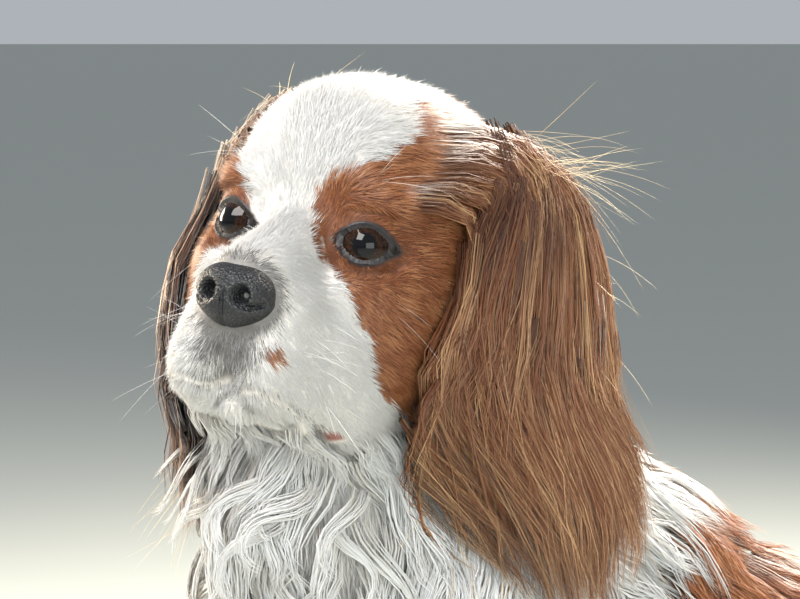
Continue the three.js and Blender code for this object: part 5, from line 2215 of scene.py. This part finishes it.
@dataclass(frozen=True)
class Nose:
    """The nose leather with its nostrils and the groove between them."""

    anatomy: Anatomy
    part: Part

    def dent(self, q: Array) -> Array:
        """How far each place of the leather is pressed in, in millimetres."""
        x, z = np.abs(q[:, 0]), q[:, 2] - self.anatomy.nose_at[2]
        front = step(-84, -90, q[:, 1])
        hole = np.exp(-(((x - 6.6) / 2.7) ** 2 + ((z - 0.6) / 3.0) ** 2) ** 1.4)
        slit_line = -3.4 + 0.05 * (x - 8) ** 2
        slit = np.exp(-(((x - 11.5) / 4.2) ** 4) - ((z - slit_line) / 1.1) ** 2)
        groove = np.exp(-((x / 0.8) ** 2)) * step(3, -3, z)
        return front * (6.5 * hole + 2.6 * slit + 1.6 * groove)

    def build(self) -> None:
        """Makes the nose."""
        made = bmesh.new()
        bmesh.ops.create_uvsphere(made, u_segments=128, v_segments=96, radius=1.0)
        upright = Matrix.Rotation(math.pi / 2, 3, "X")
        bmesh.ops.rotate(made, verts=made.verts, cent=(0, 0, 0), matrix=upright)
        x, y, z = places_of(made).T
        wide = np.where(z > 0, 1, 1 - 0.38 * z**2)
        q = arrow(np.sign(x) * np.abs(x) ** 0.86 * wide, y, np.sign(z) * np.abs(z) ** 0.85)
        q = q * np.array(self.anatomy.nose_size) + np.array(self.anatomy.nose_at)
        q[:, 1] += self.dent(q)
        mesh = self.part.from_bmesh("nose_leather", made, self.anatomy.from_head(q))
        self.part.add("nose_leather", mesh, NoseFinish().make(), Slot.NOSE, ["nose"])


# The studio


@dataclass(frozen=True)
class Lamp:
    """A soft square lamp.

    Attributes:
        name: Its name.
        way: Direction from the target, as shares of the camera's right, up and back.
        far: Distance in metres.
        size: Side of the square in metres.
        power: Power in watts.
        colour: Light colour.
    """

    name: str
    way: Point
    far: float
    size: float
    power: float
    colour: Colour


LAMPS = (
    Lamp("key", (-0.6, 0.8, 0.7), 1.9, 1.0, 42, (1.0, 0.98, 0.95)),
    Lamp("rim", (0.8, 0.8, -0.7), 1.6, 0.7, 85, (1.0, 0.93, 0.82)),
    Lamp("far_rim", (-0.9, 0.3, -0.7), 1.4, 0.6, 22, (1.0, 0.86, 0.66)),
    Lamp("fill", (0.3, -0.15, 1.0), 2.2, 1.6, 32, (0.95, 1.0, 0.95)),
)


@dataclass(frozen=True)
class Studio:
    """Plain pale floor, soft light and the camera at the photo's angle.

    Attributes:
        target: What the camera looks at, in metres.
        azimuth: Camera's angle round the dog, in degrees.
        elevation: Its height over the horizon, in degrees.
        distance: Its distance in metres.
        lens: Focal length in millimetres.
        sensor: Width of the picture on the sensor in millimetres.
        paper: Colour of the floor.
        floor_radius: Radius of the floor in metres.
        sky: Colour of the light from all round.
        sky_strength: Its strength.
    """

    target: Point
    azimuth: float = 58.0
    elevation: float = 5.0
    distance: float = 1.25
    lens: float = 147.15
    sensor: float = 36.0
    paper: Colour = (0.47, 0.49, 0.46)
    floor_radius: float = 60.0
    sky: Colour = (0.56, 0.60, 0.64)
    sky_strength: float = 0.75

    def axes(self) -> tuple[Vector, Vector, Vector]:
        """The camera's backward, right and up directions."""
        a, e = math.radians(self.azimuth), math.radians(self.elevation)
        back = Vector((math.sin(a) * math.cos(e), -math.cos(a) * math.cos(e), math.sin(e)))
        right = Vector((math.cos(a), math.sin(a), 0))
        return back, right, back.cross(right)

    def camera(self) -> None:
        """Adds the camera."""
        data = bpy.data.cameras.new("camera")
        data.lens, data.sensor_width = self.lens, self.sensor
        data.clip_start, data.clip_end = 0.05, 50.0
        camera = bpy.data.objects.new("camera", data)
        back, _, _ = self.axes()
        camera.location = Vector(self.target) + back * self.distance
        camera.rotation_euler = (-back).to_track_quat("-Z", "Y").to_euler()
        bpy.context.scene.collection.objects.link(camera)
        bpy.context.scene.camera = camera

    def lamp(self, plan: Lamp) -> None:
        """Adds a soft lamp that shines on the target."""
        data = bpy.data.lights.new(plan.name, "AREA")
        data.shape, data.size, data.energy, data.color = "SQUARE", plan.size, plan.power, plan.colour
        lamp = bpy.data.objects.new(plan.name, data)
        back, right, up = self.axes()
        direction = (right * plan.way[0] + up * plan.way[1] + back * plan.way[2]).normalized()
        lamp.location = Vector(self.target) + direction * plan.far
        lamp.rotation_euler = (-direction).to_track_quat("-Z", "Y").to_euler()
        bpy.context.scene.collection.objects.link(lamp)

    def floor(self) -> None:
        """Adds the floor."""
        made = bmesh.new()
        bmesh.ops.create_circle(made, cap_ends=True, segments=96, radius=self.floor_radius)
        mesh = mesh_of("floor", made)
        paper = Shader("floor_paper").surface_is(Base_Color=self.paper, Roughness=0.85)
        mesh.materials.append(paper)
        floor = bpy.data.objects.new("floor", mesh)
        floor.location.z = -0.0005
        bpy.context.scene.collection.objects.link(floor)

    def build(self) -> None:
        """Adds floor, world, lamps and camera."""
        world = bpy.data.worlds.new("studio")
        world.use_nodes = True
        background = world.node_tree.nodes["Background"].inputs
        background["Color"].default_value = (*self.sky, 1)
        background["Strength"].default_value = self.sky_strength
        bpy.context.scene.world = world
        bpy.context.scene.view_settings.view_transform = "Standard"
        self.floor()
        for plan in LAMPS:
            self.lamp(plan)
        self.camera()


FLESH_NODES = ("head", "lower_jaw", "neck", "chest", "loin", "rump", "tail") + tuple(
    f"{limb}_{side_name(side)}"
    for limb in ("foreleg", "forepaw", "hind_leg", "hind_paw")
    for side in (1, -1)
)


def main() -> None:
    """Builds every piece in order."""
    anatomy = Anatomy()
    part = Part(anatomy)
    comb = Comb(anatomy)
    head = part.metres(np.array(anatomy.head_at, float))
    _, right, up = Studio((0, 0, 0)).axes()
    target = Vector(head) + right * TARGET_RIGHT + up * TARGET_UP
    Studio(tuple(target)).build()
    skin = Skin(anatomy, Markings(anatomy), part)
    finishes = (WHITE_HAIR, CHESTNUT_HAIR, EAR_HAIR, BLOND_HAIR)
    coat = Coat(part, skin, *(finish.make() for finish in finishes))
    skin.build(FLESH_NODES)
    for side in (1, -1):
        eye = Eye(anatomy, part, side)
        eye.ball()
        eye.rim()
    Nose(anatomy, part).build()
    ShortCoat(skin, comb, coat).build()
    long_coat = LongCoat(anatomy, comb, coat)
    long_coat.ruff()
    long_coat.frill()
    long_coat.chin()
    long_coat.mane()
    long_coat.feathers()
    wisps = Wisps(anatomy, coat)
    wisps.vibrissae()
    ear_skin = SkinFinish("ear_skin").make()
    for side in (1, -1):
        ear = Ear(anatomy, part, side)
        ear.leather(ear_skin)
        ear.hair(coat)
        wisps.flyaways(ear)
    Claws(part).build()


if __name__ == "__main__":
    main()
